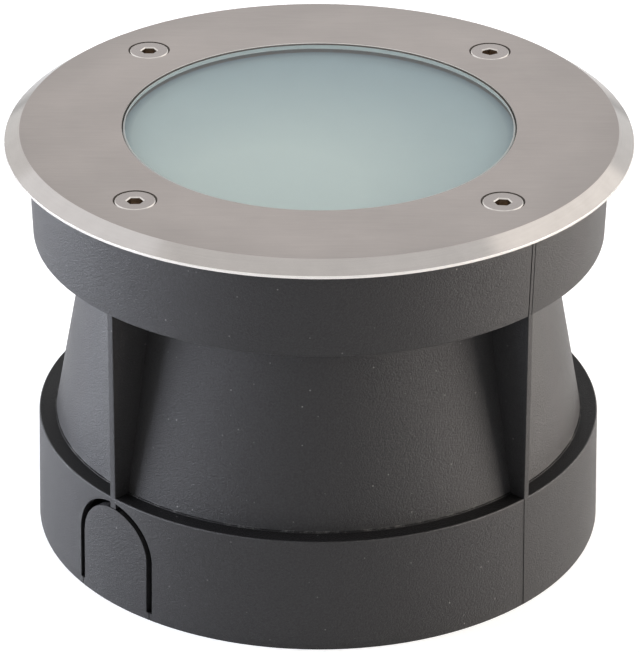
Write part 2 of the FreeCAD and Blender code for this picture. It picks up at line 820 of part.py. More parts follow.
def eared_case(label, centre, size, ear_length, along_x, height):
    """Make a case with rounded corners and two screw ears, standing on the studs."""
    length, width = size
    body = new_body(label)
    foot = new_sketch(body, "XY_Plane", "stud_top")
    add_outline(foot, rectangle_points(length, width, centre))
    pad(body, foot, height)
    dress(body, "Fillet", "case_edge", is_upright)
    ears = new_sketch(body, "XY_Plane", "stud_top")
    if along_x:
        add_outline(ears, rectangle_points(f"({length} + 2 * {ear_length})", "ear_width", centre))
    else:
        add_outline(ears, rectangle_points("ear_width", f"({width} + 2 * {ear_length})", centre))
    pad(body, ears, "ear_thickness")
    return body


def driver_case():
    """Potted constant-current driver, held by two ears."""
    centre = ("0", "driver_y")
    size = ("driver_length", "driver_width")
    body = eared_case("driver_case", centre, size, "driver_ear", True, "driver_height - driver_lid")
    holes = stud_places()[:2]
    sink_circles(body, holes, "stud_hole_radius", "stud_top + ear_thickness", "ear_thickness")


def driver_lid():
    """Cover plate glued on the driver."""
    body = new_body("driver_lid")
    sketch = new_sketch(body, "XY_Plane", "driver_case_top")
    add_outline(sketch, rectangle_points("driver_length", "driver_width", ("0", "driver_y")))
    pad(body, sketch, "driver_lid")
    dress(body, "Fillet", "case_edge", is_upright)


def terminal_places():
    """Return the places of the clamp screws."""
    middle = (TERMINAL_POLES - 1) / 2
    return [(f"terminal_x + {k - middle} * terminal_pitch", "terminal_y") for k in range(TERMINAL_POLES)]


def terminal_block():
    """Three-pole screw terminal with wire holes through it."""
    centre = ("terminal_x", "terminal_y")
    size = ("terminal_length", "terminal_width")
    body = eared_case("terminal_block", centre, size, "terminal_ear", False, "terminal_height")
    wires = new_sketch(body, "XZ_Plane", reach="terminal_width / 2 - terminal_y")
    for x, y in terminal_places():
        add_circle(wires, (x, "stud_top + terminal_height / 3"), "terminal_wire_radius")
    pocket(body, wires, "terminal_width")
    sink_circles(body, terminal_places(), "terminal_screw_radius + fit_clearance", "terminal_top",
                 "terminal_screw_height")
    holes = stud_places()[2:4]
    sink_circles(body, holes, "stud_hole_radius", "stud_top + ear_thickness", "ear_thickness")


def terminal_screws():
    """Clamp screws in the terminal block, just below its top."""
    foot = "terminal_top - terminal_screw_height"
    length = "terminal_screw_height - seat_gap"
    group("terminal_screws",
          [cylinder("terminal_screw_radius", length, x, y, foot) for x, y in terminal_places()])


def fixing_screws():
    """Small pan head screws, one node for each thing that they hold."""
    on_ears = "stud_top + ear_thickness"
    studs = stud_places()
    group("spreader_screws", [pan_screw(x, y, "spreader_top") for x, y in spreader_screw_places()])
    group("board_screws", [pan_screw(x, y, "board_top") for x, y in board_screw_places()])
    group("driver_screws", [pan_screw(x, y, on_ears) for x, y in studs[:2]])
    group("terminal_fixings", [pan_screw(x, y, on_ears) for x, y in studs[2:4]])
    earth = pan_screw(*studs[4], "stud_top + earth_washer")
    earth.Label = "earth_screw"
    nodes.append(earth)


def earth_washer():
    """Washer under the earth screw."""
    x, y = stud_places()[4]
    outer = cylinder("earth_washer_radius", "earth_washer", x, y, "stud_top")
    bore = cylinder("stud_hole_radius", "earth_washer", x, y, "stud_top")
    piece = cut(outer, bore)
    piece.Label = "earth_washer"
    nodes.append(piece)


def gland_body():
    """Cable gland screwed into the housing's floor from below."""
    centre = ("gland_x", "gland_y")
    body = new_body("gland_body")
    raise_circles(body, [centre], "gland_neck_radius", "gland_neck_foot", "gland_neck + gland_hex_height")
    collar = new_sketch(body, "XY_Plane", "gland_hex_foot")
    add_outline(collar, hexagon_points("gland_hex_flats", centre))
    pad(body, collar, "gland_hex_height")
    thread = "gland_seal + cup_floor + gland_thread_spare"
    raise_circles(body, [centre], "gland_thread_radius", "gland_body_top", thread)
    whole = f"gland_neck + gland_hex_height + {thread}"
    sink_circles(body, [centre], "gland_bore_radius", f"gland_body_top + {thread}", whole)


def gland_seal():
    """Flat ring between the gland and the housing's floor."""
    body = new_body("gland_seal")
    centre = ("gland_x", "gland_y")
    raise_circles(body, [centre], "gland_seal_radius", "gland_body_top", "gland_seal")
    sink_circles(body, [centre], "gland_thread_radius + fit_clearance", "cup_foot", "gland_seal")


def gland_insert():
    """Rubber sleeve that grips the cable inside the gland."""
    body = new_body("gland_insert")
    centre = ("gland_x", "gland_y")
    raise_circles(body, [centre], "gland_insert_radius", "gland_insert_foot", "gland_insert_length")
    top = "gland_insert_foot + gland_insert_length"
    sink_circles(body, [centre], "cable_radius", top, "gland_insert_length")


def gland_cap():
    """Hexagonal cap nut that squeezes the rubber sleeve."""
    body = new_body("gland_cap")
    centre = ("gland_x", "gland_y")
    sketch = new_sketch(body, "XY_Plane", "gland_cap_foot")
    add_outline(sketch, hexagon_points("gland_cap_flats", centre))
    pad(body, sketch, "gland_cap_top - gland_cap_foot")
    sink_circles(body, [centre], "gland_cap_bore", "gland_cap_top", "gland_cap_top - gland_insert_foot")
    opening = "cable_radius + cable_entry_gap"
    sink_circles(body, [centre], opening, "gland_insert_foot", "gland_cap_end")


def breather():
    """Pressure-equalising plug in the housing's floor."""
    body = new_body("breather")
    centre = ("breather_x", "breather_y")
    foot = "cup_foot - breather_cap_height"
    raise_circles(body, [centre], "breather_cap_radius", foot, "breather_cap_height")
    thread = "cup_floor + breather_spare"
    raise_circles(body, [centre], "breather_thread_radius", "cup_foot", thread)
    whole = f"breather_cap_height + {thread}"
    sink_circles(body, [centre], "breather_bore_radius", f"cup_foot + {thread}", whole)


def check_document():
    """Stop if any object of the document failed."""
    for item in doc.Objects:
        if {"Invalid", "Error"} & set(item.State):
            raise RuntimeError(f"{item.Label} failed: {item.State}")
    for node in nodes:
        if node.Shape.isNull() or not node.Shape.isValid():
            raise RuntimeError(f"{node.Label} has no valid shape")


def write_nodes():
    """Write each piece to its own file, named after it."""
    os.makedirs("parts", exist_ok=True)
    for node in nodes:
        node.Shape.exportStep(f"parts/{node.Label}.step")
        print(f"{node.Label}: {len(node.Shape.Solids)} solid(s), {node.Shape.Volume:.1f} mm3")


mounting_sleeve()
threaded_inserts()
bezel()
for number in range(SCREW_COUNT):
    bezel_screw(number)
glass_lens()
lens_gasket_upper()
lens_gasket_lower()
lamp_housing()
seat_washers()
heat_spreader()
led_board()
led_packages()
board_plug()
reflector()
driver_case()
driver_lid()
terminal_block()
terminal_screws()
fixing_screws()
earth_washer()
gland_body()
gland_seal()
gland_insert()
gland_cap()
breather()
doc.recompute()
check_document()
write_nodes()
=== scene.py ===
"""The looks of an in ground well light, built on its packed CAD frame."""

import json
import math

import bmesh
import bpy
from mathutils import Matrix, Quaternion, Vector

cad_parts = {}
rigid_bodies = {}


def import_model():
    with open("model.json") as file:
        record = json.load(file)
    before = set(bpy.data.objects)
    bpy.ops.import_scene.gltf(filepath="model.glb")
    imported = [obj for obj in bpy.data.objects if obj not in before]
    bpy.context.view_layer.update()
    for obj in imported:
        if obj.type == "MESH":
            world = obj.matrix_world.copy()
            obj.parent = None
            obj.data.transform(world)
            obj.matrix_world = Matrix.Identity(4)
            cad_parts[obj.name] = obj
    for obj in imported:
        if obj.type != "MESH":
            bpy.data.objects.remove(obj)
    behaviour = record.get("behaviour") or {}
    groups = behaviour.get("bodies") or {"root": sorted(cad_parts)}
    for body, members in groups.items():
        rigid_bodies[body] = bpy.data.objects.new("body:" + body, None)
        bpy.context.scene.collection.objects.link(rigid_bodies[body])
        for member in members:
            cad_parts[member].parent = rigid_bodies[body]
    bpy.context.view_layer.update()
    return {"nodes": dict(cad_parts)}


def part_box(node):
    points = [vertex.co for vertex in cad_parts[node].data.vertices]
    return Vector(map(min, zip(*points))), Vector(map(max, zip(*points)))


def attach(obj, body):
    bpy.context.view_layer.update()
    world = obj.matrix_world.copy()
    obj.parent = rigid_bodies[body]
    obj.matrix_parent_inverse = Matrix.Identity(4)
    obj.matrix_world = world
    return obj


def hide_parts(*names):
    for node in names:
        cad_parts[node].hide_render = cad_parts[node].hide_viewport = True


bl_info = {
    "name": "In Ground Well Light",
    "version": (1, 0, 0),
    "blender": (4, 5, 0),
    "location": "3D View > Sidebar > Well Light",
    "description": "Builds the finished pieces of a recessed ground light",
    "category": "Object",
}

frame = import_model()
NODES = frame["nodes"]

MM = 0.001
NEAR = 0.02 * MM
QUARTER = math.pi / 2
RING_STEPS = 288
SMALL_RING_STEPS = 96
# the least upward part of a level face's normal
LEVEL = 0.98

# heights above the sleeve's foot and radii in millimetres, and turns in degrees
BEZEL_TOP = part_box("bezel")[1].z / MM
BEZEL_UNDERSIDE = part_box("bezel")[0].z / MM
BEZEL_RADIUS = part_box("bezel")[1].x / MM
GLASS_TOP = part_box("glass_lens")[1].z / MM
GLASS_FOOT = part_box("glass_lens")[0].z / MM
GLASS_FLANGE_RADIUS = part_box("glass_lens")[1].x / MM
APERTURE_RADIUS = 56.4
CHAMFER_WIDTH = 4.5
RIM_HEIGHT = 0.8
SCREW_CIRCLE = 71.503
SCREW_COUNT = 4
FIRST_SCREW = 45
SCREW_TURNS = (30.0, 0.0, 2.0, -6.0)
LEDGE = 34.8
STEP_TOP = 35.15
STEP_RADIUS = 77.7
CONE_FOOT_RADIUS = 77.3
SHELF = 93.4

SIDE_BOXES = ("SideBoxLeft", "SideBoxRight")


# -------- settings

class StageSettings(bpy.types.PropertyGroup):
    """The view, the light and the ground."""

    target_height: bpy.props.FloatProperty(
        name="Target height", description="Height of the point that the camera looks at",
        default=59.16 * MM, unit="LENGTH")
    distance: bpy.props.FloatProperty(
        name="Distance", description="From the camera to its target",
        default=1.1984, unit="LENGTH")
    elevation: bpy.props.FloatProperty(
        name="Elevation", description="How far the camera looks down",
        default=math.radians(27.883), subtype="ANGLE")
    roll: bpy.props.FloatProperty(
        name="Roll", description="How far the camera leans about its line of sight",
        default=math.radians(0.2), subtype="ANGLE")
    lens: bpy.props.FloatProperty(
        name="Lens", description="Focal length on a 36 mm sensor",
        default=225.27, subtype="DISTANCE_CAMERA")
    shift: bpy.props.FloatProperty(
        name="Shift", description="Sideways shift of the frame, as a share of its long side",
        default=0.00145, subtype="FACTOR")
    ambient: bpy.props.FloatProperty(
        name="Ambient", description="How bright the room is for matt surfaces",
        default=0.34, min=0)
    left_colour: bpy.props.StringProperty(
        name="Left light", description="Colour of the cooler soft box", default="#eef3ff")
    right_colour: bpy.props.StringProperty(
        name="Right light", description="Colour of the warmer soft box", default="#fff6ed")


class SleeveSettings(bpy.types.PropertyGroup):
    """The black moulded sleeve."""

    edge_rounding: bpy.props.FloatProperty(
        name="Edge rounding", description="Radius of the moulding's outer edges",
        default=0.4 * MM, unit="LENGTH")
    inner_rounding: bpy.props.FloatProperty(
        name="Inner rounding", description="Radius where the cone meets the shelf",
        default=0.8 * MM, unit="LENGTH")
    dark_tone: bpy.props.StringProperty(
        name="Dark tone", description="Colour in the grain of the moulding", default="#100f10")
    light_tone: bpy.props.StringProperty(
        name="Light tone", description="Colour on top of the grain", default="#2d2c2d")
    # painted shade: these darker tones darken the level faces below the shelf, under the collar
    ledge_shade_dark: bpy.props.StringProperty(
        name="Ledge dark tone", description="Colour in the grain of the duller level faces",
        default="#090809")
    ledge_shade_light: bpy.props.StringProperty(
        name="Ledge light tone", description="Colour on top of their grain", default="#181718")


class BezelSettings(bpy.types.PropertyGroup):
    """The stainless plate and its screws."""

    edge_break: bpy.props.FloatProperty(
        name="Edge break", description="Width to which the turned edges are broken",
        default=0.12 * MM, unit="LENGTH")
    plate_colour: bpy.props.StringProperty(
        name="Plate", description="Colour of the brushed plate", default="#aca4a0")
    chamfer_colour: bpy.props.StringProperty(
        name="Chamfer", description="Colour of the turned chamfer", default="#b9b4b0")
    # painted highlight: a near white steel that draws bright lines on the broken edges
    rim_highlight_colour: bpy.props.StringProperty(
        name="Rim", description="Colour of the bright broken edges", default="#f0ece8")
    screw_colour: bpy.props.StringProperty(
        name="Screws", description="Colour of the screws", default="#a69f9c")


class GlassSettings(bpy.types.PropertyGroup):
    """The frosted glass."""

    body_colour: bpy.props.StringProperty(
        name="Glass", description="Colour of the glass in its thickness", default="#e4f3f1")
    frost_colour: bpy.props.StringProperty(
        name="Frost", description="Colour of the sandblasted underside", default="#fbfffd")
    # painted shade: the underside is drawn darker towards the rear
    shaded_frost: bpy.props.StringProperty(
        name="Shaded frost", description="Colour of the underside towards the rear",
        default="#bfcfd8")
    frost_roughness: bpy.props.FloatProperty(
        name="Frost roughness", description="How far the underside spreads the light",
        default=0.7, min=0, max=1, subtype="FACTOR")
    edge_colour: bpy.props.StringProperty(
        name="Ground edge", description="Colour of the ground edge", default="#fbfffd")
    # painted shade: the underside is drawn darker and bluer where it lies on its gasket
    gasket_shade: bpy.props.StringProperty(
        name="Gasket shade", description="Colour of the underside where it lies on its gasket",
        default="#89a9bc")


# -------- materials

# numbers of the Mix node's inputs, because their names repeat
FACTOR, FLOAT_A, FLOAT_B, COLOUR_A, COLOUR_B = 0, 2, 3, 6, 7
# nearly all values of a noise texture lie in this span
NOISE_SPAN = {"From Min": 0.3, "From Max": 0.7}
GLASS_IOR = 1.52


def linear(colour):
    """Turn an sRGB hex colour into linear values with full alpha."""
    channels = [int(colour[k:k + 2], 16) / 255 for k in (1, 3, 5)]
    return (*[c / 12.92 if c <= 0.04045 else ((c + 0.055) / 1.055) ** 2.4 for c in channels], 1.0)


def shades(colour, *shares):
    """Return darker or lighter shades of a hex colour, as shares of its linear values."""
    return [(*[min(c * share, 1.0) for c in linear(colour)[:3]], 1.0) for share in shares]


def per_metre(size_mm):
    """Return the texture scale that gives features of a size in millimetres."""
    return 1 / (size_mm * MM)


def node(tree, kind, inputs=None, **settings):
    """Add one shader node with its inputs and settings.

    An input takes a value, a hex colour, a socket, or a node whose first output feeds it.
    """
    made = tree.nodes.new("ShaderNode" + kind)
    for name, value in settings.items():
        setattr(made, name, value)
    for name, value in (inputs or {}).items():
        if isinstance(value, bpy.types.Node):
            value = next(output for output in value.outputs if output.enabled)
        if isinstance(value, bpy.types.NodeSocket):
            tree.links.new(value, made.inputs[name])
        else:
            made.inputs[name].default_value = linear(value) if isinstance(value, str) else value
    return made


def new_material(name):
    """Start a material and return it with its node tree and its place coordinates."""
    material = bpy.data.materials.new(name)
    material.use_nodes = True
    tree = material.node_tree
    tree.nodes.clear()
    place = node(tree, "TexCoord").outputs["Object"]
    return material, tree, place


def close_material(material, shader, inputs):
    """Add a material's last shader and send it to the output."""
    tree = material.node_tree
    node(tree, "OutputMaterial", {"Surface": node(tree, shader, inputs)})
    return material


def around_axis(tree, place):
    """Return the level part of a place, and how far it is from the upright axis."""
    level = node(tree, "VectorMath", {0: place, 1: (1.0, 1.0, 0.0)}, operation="MULTIPLY")
    reach = node(tree, "VectorMath", {0: level}, operation="LENGTH")
    return level, reach


def moulded_black_plastic(name, dark, light, gloss):
    """Injection moulded polypropylene from a spark-eroded tool: a fine grain breaks up its sheen.

    Real spark grain is about 0.1 mm and would not show, so it is drawn at half a millimetre.
    Pale dust grains lie on it here and there, a broken line of dust sits in the corner at the
    foot of the cone, and the sheen drifts slowly from place to place.
    """
    drawn_grain, sheen_patch = 0.55, 38.0
    dust_colour = "#a09e9b"
    material, tree, place = new_material(name)
    grain = node(tree, "TexNoise", {
        "Vector": place, "Scale": per_metre(drawn_grain), "Detail": 4.0, "Roughness": 0.75})
    drift = node(tree, "TexNoise", {
        "Vector": place, "Scale": per_metre(sheen_patch), "Detail": 2.0})
    tone = mottled(tree, grain, dark, light)
    amount = node(tree, "Math", {
        0: dust_grains(tree, place), 1: corner_dust(tree, place)}, operation="MAXIMUM")
    dusty = node(tree, "Mix", {
        FACTOR: amount, COLOUR_A: tone, COLOUR_B: dust_colour}, data_type="RGBA")
    bump = node(tree, "Bump", {"Strength": 1.0, "Distance": 0.22 * MM, "Height": grain})
    rough = node(tree, "MapRange", {"Value": drift, **NOISE_SPAN, "To Min": 0.38, "To Max": 0.47})
    return close_material(material, "BsdfPrincipled", {
        "Base Color": dusty, "Normal": bump, "IOR": 1.49, "Specular IOR Level": gloss,
        "Sheen Weight": 0.02, "Sheen Roughness": 0.4, "Roughness": rough})


def mottled(tree, pattern, dark, light):
    """Return a tone that wanders between two colours as a noise texture does."""
    share = node(tree, "MapRange", {"Value": pattern, **NOISE_SPAN})
    return node(tree, "Mix", {FACTOR: share, COLOUR_A: dark, COLOUR_B: light}, data_type="RGBA")


def dust_grains(tree, place):
    """Return pale grains of dust, which lie in a few cells of a Voronoi texture."""
    cell_size = 2.2
    rarest = 0.82
    cells = node(tree, "TexVoronoi", {"Vector": place, "Scale": per_metre(cell_size)})
    chance = node(tree, "SeparateColor", {"Color": cells.outputs["Color"]})
    near = node(tree, "MapRange", {
        "Value": cells.outputs["Distance"], "From Min": 0.04, "From Max": 0.14,
        "To Min": 1.0, "To Max": 0.0})
    rare = node(tree, "MapRange", {"Value": chance, "From Min": rarest, "To Max": 0.55})
    return node(tree, "Math", {0: near, 1: rare}, operation="MULTIPLY")


def corner_dust(tree, place):
    """Return a thin broken line of dust in the corner where the cone stands on its step."""
    corner = (CONE_FOOT_RADIUS + STEP_RADIUS) / 2
    line_reach, line_height = 0.28, 0.25
    patch_size = 4.6
    _, reach = around_axis(tree, place)
    height = node(tree, "SeparateXYZ", {"Vector": place}).outputs["Z"]
    across = node(tree, "Math", {
        0: reach, 1: corner * MM, 2: line_reach * MM}, operation="COMPARE")
    up = node(tree, "Math", {
        0: height, 1: STEP_TOP * MM, 2: line_height * MM}, operation="COMPARE")
    line = node(tree, "Math", {0: across, 1: up}, operation="MULTIPLY")
    patches = node(tree, "TexNoise", {
        "Vector": place, "Scale": per_metre(patch_size), "Detail": 6.0, "Roughness": 0.85})
    broken = node(tree, "MapRange", {
        "Value": patches, "From Min": 0.5, "From Max": 0.66, "To Max": 0.36})
    return node(tree, "Math", {0: line, 1: broken}, operation="MULTIPLY")


def brushed_stainless_plate(name, colour):
    """Stainless sheet, brushed one way with a fine belt: short soft lines that catch the light.

    Handling has left it a little uneven, and its colour is drawn slightly darker towards its rim.
    """
    line_length, line_stretch, cloud_size = 11.0, 28.0, 26.0
    rim_starts, rim_ends = 74 * MM, 85 * MM
    material, tree, place = new_material(name)
    lay = node(tree, "Mapping", {"Vector": place, "Scale": (1.0, line_stretch, 1.0)})
    lines = node(tree, "TexNoise", {
        "Vector": lay, "Scale": per_metre(line_length), "Detail": 5.0, "Roughness": 0.65})
    cloud = node(tree, "TexNoise", {
        "Vector": place, "Scale": per_metre(cloud_size), "Detail": 5.0})
    _, reach = around_axis(tree, place)
    brushed = node(tree, "MapRange", {"Value": lines, **NOISE_SPAN, "To Max": 0.36})
    # the colour is drawn darker towards the rim
    rim = node(tree, "MapRange", {
        "Value": reach, "From Min": rim_starts, "From Max": rim_ends, "To Max": -0.3})
    lines_and_rim = node(tree, "Math", {0: brushed, 1: rim}, operation="ADD")
    clouded = node(tree, "MapRange", {"Value": cloud, **NOISE_SPAN})
    uneven = node(tree, "Math", {0: clouded, 1: 0.64, 2: lines_and_rim}, operation="MULTIPLY_ADD")
    dark, light = shades(colour, 0.86, 1.1)
    tone = node(tree, "Mix", {FACTOR: uneven, COLOUR_A: dark, COLOUR_B: light}, data_type="RGBA")
    bump = node(tree, "Bump", {"Strength": 0.12, "Distance": 0.02 * MM, "Height": lines})
    rough = node(tree, "MapRange", {"Value": cloud, **NOISE_SPAN, "To Min": 0.33, "To Max": 0.4})
    return close_material(material, "BsdfPrincipled", {
        "Base Color": tone, "Metallic": 1.0, "Normal": bump, "Roughness": rough,
        "Anisotropic": 0.3})


def turned_stainless(name, colour, line_mm=0.35, roughness=0.14):
    """Stainless steel cut on a lathe: fine rings round the axis, and brighter than brushed plate.

    The tool's feed marks are about 0.1 mm apart and are drawn coarser so that they show.
    """
    ring_drift, blotch_size = 3.0, 6.0
    material, tree, place = new_material(name)
    level, reach = around_axis(tree, place)
    height = node(tree, "SeparateXYZ", {"Vector": place}).outputs["Z"]
    heading = node(tree, "VectorMath", {0: level}, operation="NORMALIZE")
    slow = node(tree, "VectorMath", {0: heading, "Scale": ring_drift * MM}, operation="SCALE")
    wheel = node(tree, "CombineXYZ", {"X": reach, "Z": height})
    along = node(tree, "VectorMath", {0: slow, 1: wheel}, operation="ADD")
    rings = node(tree, "TexNoise", {"Vector": along, "Scale": per_metre(line_mm), "Detail": 3.0})
    blotches = node(tree, "TexNoise", {
        "Vector": place, "Scale": per_metre(blotch_size), "Detail": 3.0})
    blotched = node(tree, "MapRange", {"Value": blotches, "To Max": 0.6})
    uneven = node(tree, "Math", {0: rings, 1: 0.4, 2: blotched}, operation="MULTIPLY_ADD")
    dark, light = shades(colour, 0.95, 1.05)
    tone = mottled(tree, uneven, dark, light)
    bump = node(tree, "Bump", {"Strength": 0.1, "Distance": 0.01 * MM, "Height": rings})
    return close_material(material, "BsdfPrincipled", {
        "Base Color": tone, "Metallic": 1.0, "Normal": bump, "Roughness": roughness,
        "Anisotropic": 0.2})


def polished_glass(name, colour):
    """Toughened soda-lime glass, fire polished: clear, with the green of iron in its thickness."""
    haze_size = 14.0
    material, tree, place = new_material(name)
    haze = node(tree, "TexNoise", {"Vector": place, "Scale": per_metre(haze_size), "Detail": 3.0})
    rough = node(tree, "MapRange", {"Value": haze, **NOISE_SPAN, "To Min": 0.01, "To Max": 0.05})
    return close_material(material, "BsdfPrincipled", {
        "Base Color": colour, "IOR": GLASS_IOR, "Transmission Weight": 1.0,
        "Roughness": rough})


def frosted_glass(name, light, shaded, roughness, gasket_shade):
    """Sandblasted glass: most of the light scatters back, the rest goes through to the white cone.

    The blast grain is drawn at 0.6 mm. Painted shade makes it darker and bluer where it lies on
    its gasket, and a little darker towards the rear.
    """
    drawn_grain, cloud_size = 0.6, 26.0
    brightest = (-12 * MM, -34 * MM, GLASS_FOOT * MM)
    fade_starts, fade_ends, fade_drift = 30 * MM, 96 * MM, 12 * MM
    seat_starts, seat_ends = 53.5 * MM, 57.5 * MM
    material, tree, place = new_material(name)
    blast = node(tree, "TexNoise", {
        "Vector": place, "Scale": per_metre(drawn_grain), "Detail": 3.0})
    cloud = node(tree, "TexNoise", {
        "Vector": place, "Scale": per_metre(cloud_size), "Detail": 2.0})
    bump = node(tree, "Bump", {"Strength": 0.2, "Distance": 0.05 * MM, "Height": blast})
    # painted shade: the colour darkens with distance from a brightest point near the front
    away = node(tree, "VectorMath", {0: place, 1: brightest}, operation="DISTANCE")
    depth = node(tree, "Math", {0: cloud, 1: fade_drift, 2: away}, operation="MULTIPLY_ADD")
    fade = node(tree, "MapRange", {
        "Value": depth, "From Min": fade_starts, "From Max": fade_ends,
        "To Min": 1.0, "To Max": 0.0})
    tone = node(tree, "Mix", {FACTOR: fade, COLOUR_A: shaded, COLOUR_B: light}, data_type="RGBA")
    # painted shade where the underside lies on its gasket
    _, reach = around_axis(tree, place)
    seat = node(tree, "MapRange", {"Value": reach, "From Min": seat_starts, "From Max": seat_ends})
    seat_shaded = node(tree, "Mix", {
        FACTOR: seat, COLOUR_A: tone, COLOUR_B: gasket_shade}, data_type="RGBA")
    return close_material(material, "BsdfPrincipled", {
        "Base Color": seat_shaded, "IOR": GLASS_IOR, "Transmission Weight": 0.12,
        "Roughness": roughness, "Normal": bump})


def plain_moulding(name, dark, light, roughness, grain_mm=0.6, ior=1.5):
    """A moulded plastic or rubber with a fine texture and slow changes of tone."""
    drift_size = 16.0
    material, tree, place = new_material(name)
    grain = node(tree, "TexNoise", {"Vector": place, "Scale": per_metre(grain_mm), "Detail": 2.0})
    drift = node(tree, "TexNoise", {
        "Vector": place, "Scale": per_metre(drift_size), "Detail": 3.0})
    tone = mottled(tree, drift, dark, light)
    bump = node(tree, "Bump", {"Strength": 0.25, "Distance": 0.03 * MM, "Height": grain})
    rough = node(tree, "MapRange", {
        "Value": grain, "To Min": roughness - 0.05, "To Max": roughness + 0.07})
    return close_material(material, "BsdfPrincipled", {
        "Base Color": tone, "IOR": ior, "Normal": bump, "Roughness": rough})


def bare_metal(name, dark, light, roughness):
    """A bare or plated metal with a faint blotchy sheen."""
    blotch_size = 1.2
    material, tree, place = new_material(name)
    grain = node(tree, "TexNoise", {
        "Vector": place, "Scale": per_metre(blotch_size), "Detail": 4.0})
    tone = mottled(tree, grain, dark, light)
    bump = node(tree, "Bump", {"Strength": 0.15, "Distance": 0.02 * MM, "Height": grain})
    rough = node(tree, "MapRange", {
        "Value": grain, "To Min": roughness - 0.06, "To Max": roughness + 0.06})
    return close_material(material, "BsdfPrincipled", {
        "Base Color": tone, "Metallic": 1.0, "Normal": bump, "Roughness": rough})


# -------- modelling

def nothing_selected():
    """Leave edit mode and deselect everything."""
    if bpy.context.object and bpy.context.object.mode != "OBJECT":
        bpy.ops.object.mode_set(mode="OBJECT")
    bpy.ops.object.select_all(action="DESELECT")


def only(piece):
    """Leave one piece selected and active, in object mode."""
    nothing_selected()
    piece.select_set(True)
    bpy.context.view_layer.objects.active = piece


def new_piece(name, add, **settings):
    """Add a piece by an operator, name it, and put its place into its mesh."""
    nothing_selected()
    add(**settings)
    piece = bpy.context.object
    piece.name = name
    bpy.ops.object.transform_apply()
    return piece


def apply_modifier(piece, kind, **settings):
    """Finish a piece with one modifier."""
    only(piece)
    change = piece.modifiers.new(kind, kind)
    for name, value in settings.items():
        setattr(change, name, value)
    bpy.ops.object.modifier_apply(modifier=change.name)


def settle(piece, turn=0.0, move=(0, 0, 0)):
    """Turn a piece about the upright axis, move it, and put its place into its mesh."""
    only(piece)
    piece.rotation_euler.z += turn
    piece.location = Matrix.Rotation(turn, 3, "Z") @ piece.location + Vector(move)
    bpy.ops.object.transform_apply()
    return piece


def pick(piece, kind, wanted):
    """Select the vertices, edges or faces of a piece that a test wants, in edit mode."""
    only(piece)
    bpy.ops.object.mode_set(mode="EDIT")
    bpy.ops.mesh.select_mode(type=kind)
    bpy.ops.mesh.select_all(action="DESELECT")
    shape = bmesh.from_edit_mesh(piece.data)
    found = [part for part in {"VERT": shape.verts, "EDGE": shape.edges,
                               "FACE": shape.faces}[kind] if wanted(part)]
    if not found:
        raise RuntimeError(f"{piece.name}: nothing to pick")
    for part in found:
        part.select_set(True)
    shape.select_flush_mode()
    bmesh.update_edit_mesh(piece.data)


def clean(piece):
    """Merge doubled vertices and point every face outwards."""
    only(piece)
    bpy.ops.object.mode_set(mode="EDIT")
    bpy.ops.mesh.select_all(action="SELECT")
    bpy.ops.mesh.remove_doubles(threshold=NEAR / 10)
    bpy.ops.mesh.normals_make_consistent(inside=False)
    bpy.ops.object.mode_set(mode="OBJECT")
    return piece


def at_ring(point, ring):
    """Tell whether a vertex lies on a ring of a radius and height in millimetres."""
    radius, height = ring
    return abs(point.co.xy.length - radius * MM) < NEAR and abs(point.co.z - height * MM) < NEAR


def turned(name, outline, steps=RING_STEPS):
    """Model a piece as on a lathe: a ring is extruded and scaled along an outline in millimetres.

    An outline that ends where it starts gives a hollow ring; any other gets its two ends filled.
    """
    first, last = outline[0], outline[-1]
    piece = new_piece(name, bpy.ops.mesh.primitive_circle_add, vertices=steps,
                      radius=first[0] * MM, location=(0, 0, first[1] * MM))
    bpy.ops.object.mode_set(mode="EDIT")
    bpy.ops.mesh.select_mode(type="VERT")
    bpy.ops.mesh.select_all(action="SELECT")
    for (here, low), (there, high) in zip(outline, outline[1:]):
        bpy.ops.mesh.extrude_region_move(
            TRANSFORM_OT_translate={"value": (0, 0, (high - low) * MM)})
        bpy.ops.transform.resize(
            value=(there / here, there / here, 1), center_override=(0, 0, high * MM))
    if last != first:
        bpy.ops.mesh.edge_face_add()
        pick(piece, "EDGE", lambda edge: all(at_ring(end, first) for end in edge.verts))
        bpy.ops.mesh.edge_face_add()
    return clean(piece)


def round_rings(piece, rings, width, steps=3):
    """Round the sharp rings of a turned piece that lie at the given radii and heights."""
    pick(piece, "EDGE", lambda edge: any(
        all(at_ring(end, ring) for end in edge.verts) for ring in rings))
    bpy.ops.mesh.bevel(offset=width, segments=steps, profile=0.5, affect="EDGES")
    bpy.ops.object.mode_set(mode="OBJECT")


def block(name, bottom, top):
    """Model a bar between two rectangles, each given as ((x, x), (y, y), z) in millimetres."""
    upwards = 0.9
    (left, right), (near, far), low = bottom
    (top_left, top_right), (top_near, top_far), high = top
    middle = ((left + right) / 2 * MM, (near + far) / 2 * MM)
    top_middle = ((top_left + top_right) / 2 * MM, (top_near + top_far) / 2 * MM)
    piece = new_piece(
        name, bpy.ops.mesh.primitive_cube_add, size=MM,
        location=(*middle, (low + high) / 2 * MM), scale=(right - left, far - near, high - low))
    pick(piece, "FACE", lambda face: face.normal.z > upwards)
    bpy.ops.transform.resize(
        value=((top_right - top_left) / (right - left), (top_far - top_near) / (far - near), 1),
        center_override=(*middle, high * MM))
    bpy.ops.transform.translate(value=(top_middle[0] - middle[0], top_middle[1] - middle[1], 0))
    bpy.ops.object.mode_set(mode="OBJECT")
    return piece


def combine(piece, tool, operation="DIFFERENCE"):
    """Cut a tool out of a piece, or grow it on, and use the tool up."""
    only(piece)
    before = len(piece.data.vertices)
    apply_modifier(piece, "BOOLEAN", operation=operation, object=tool, solver="EXACT")
    if len(piece.data.vertices) == before:
        raise RuntimeError(f"{piece.name}: {tool.name} changed nothing")
    bpy.data.objects.remove(tool)


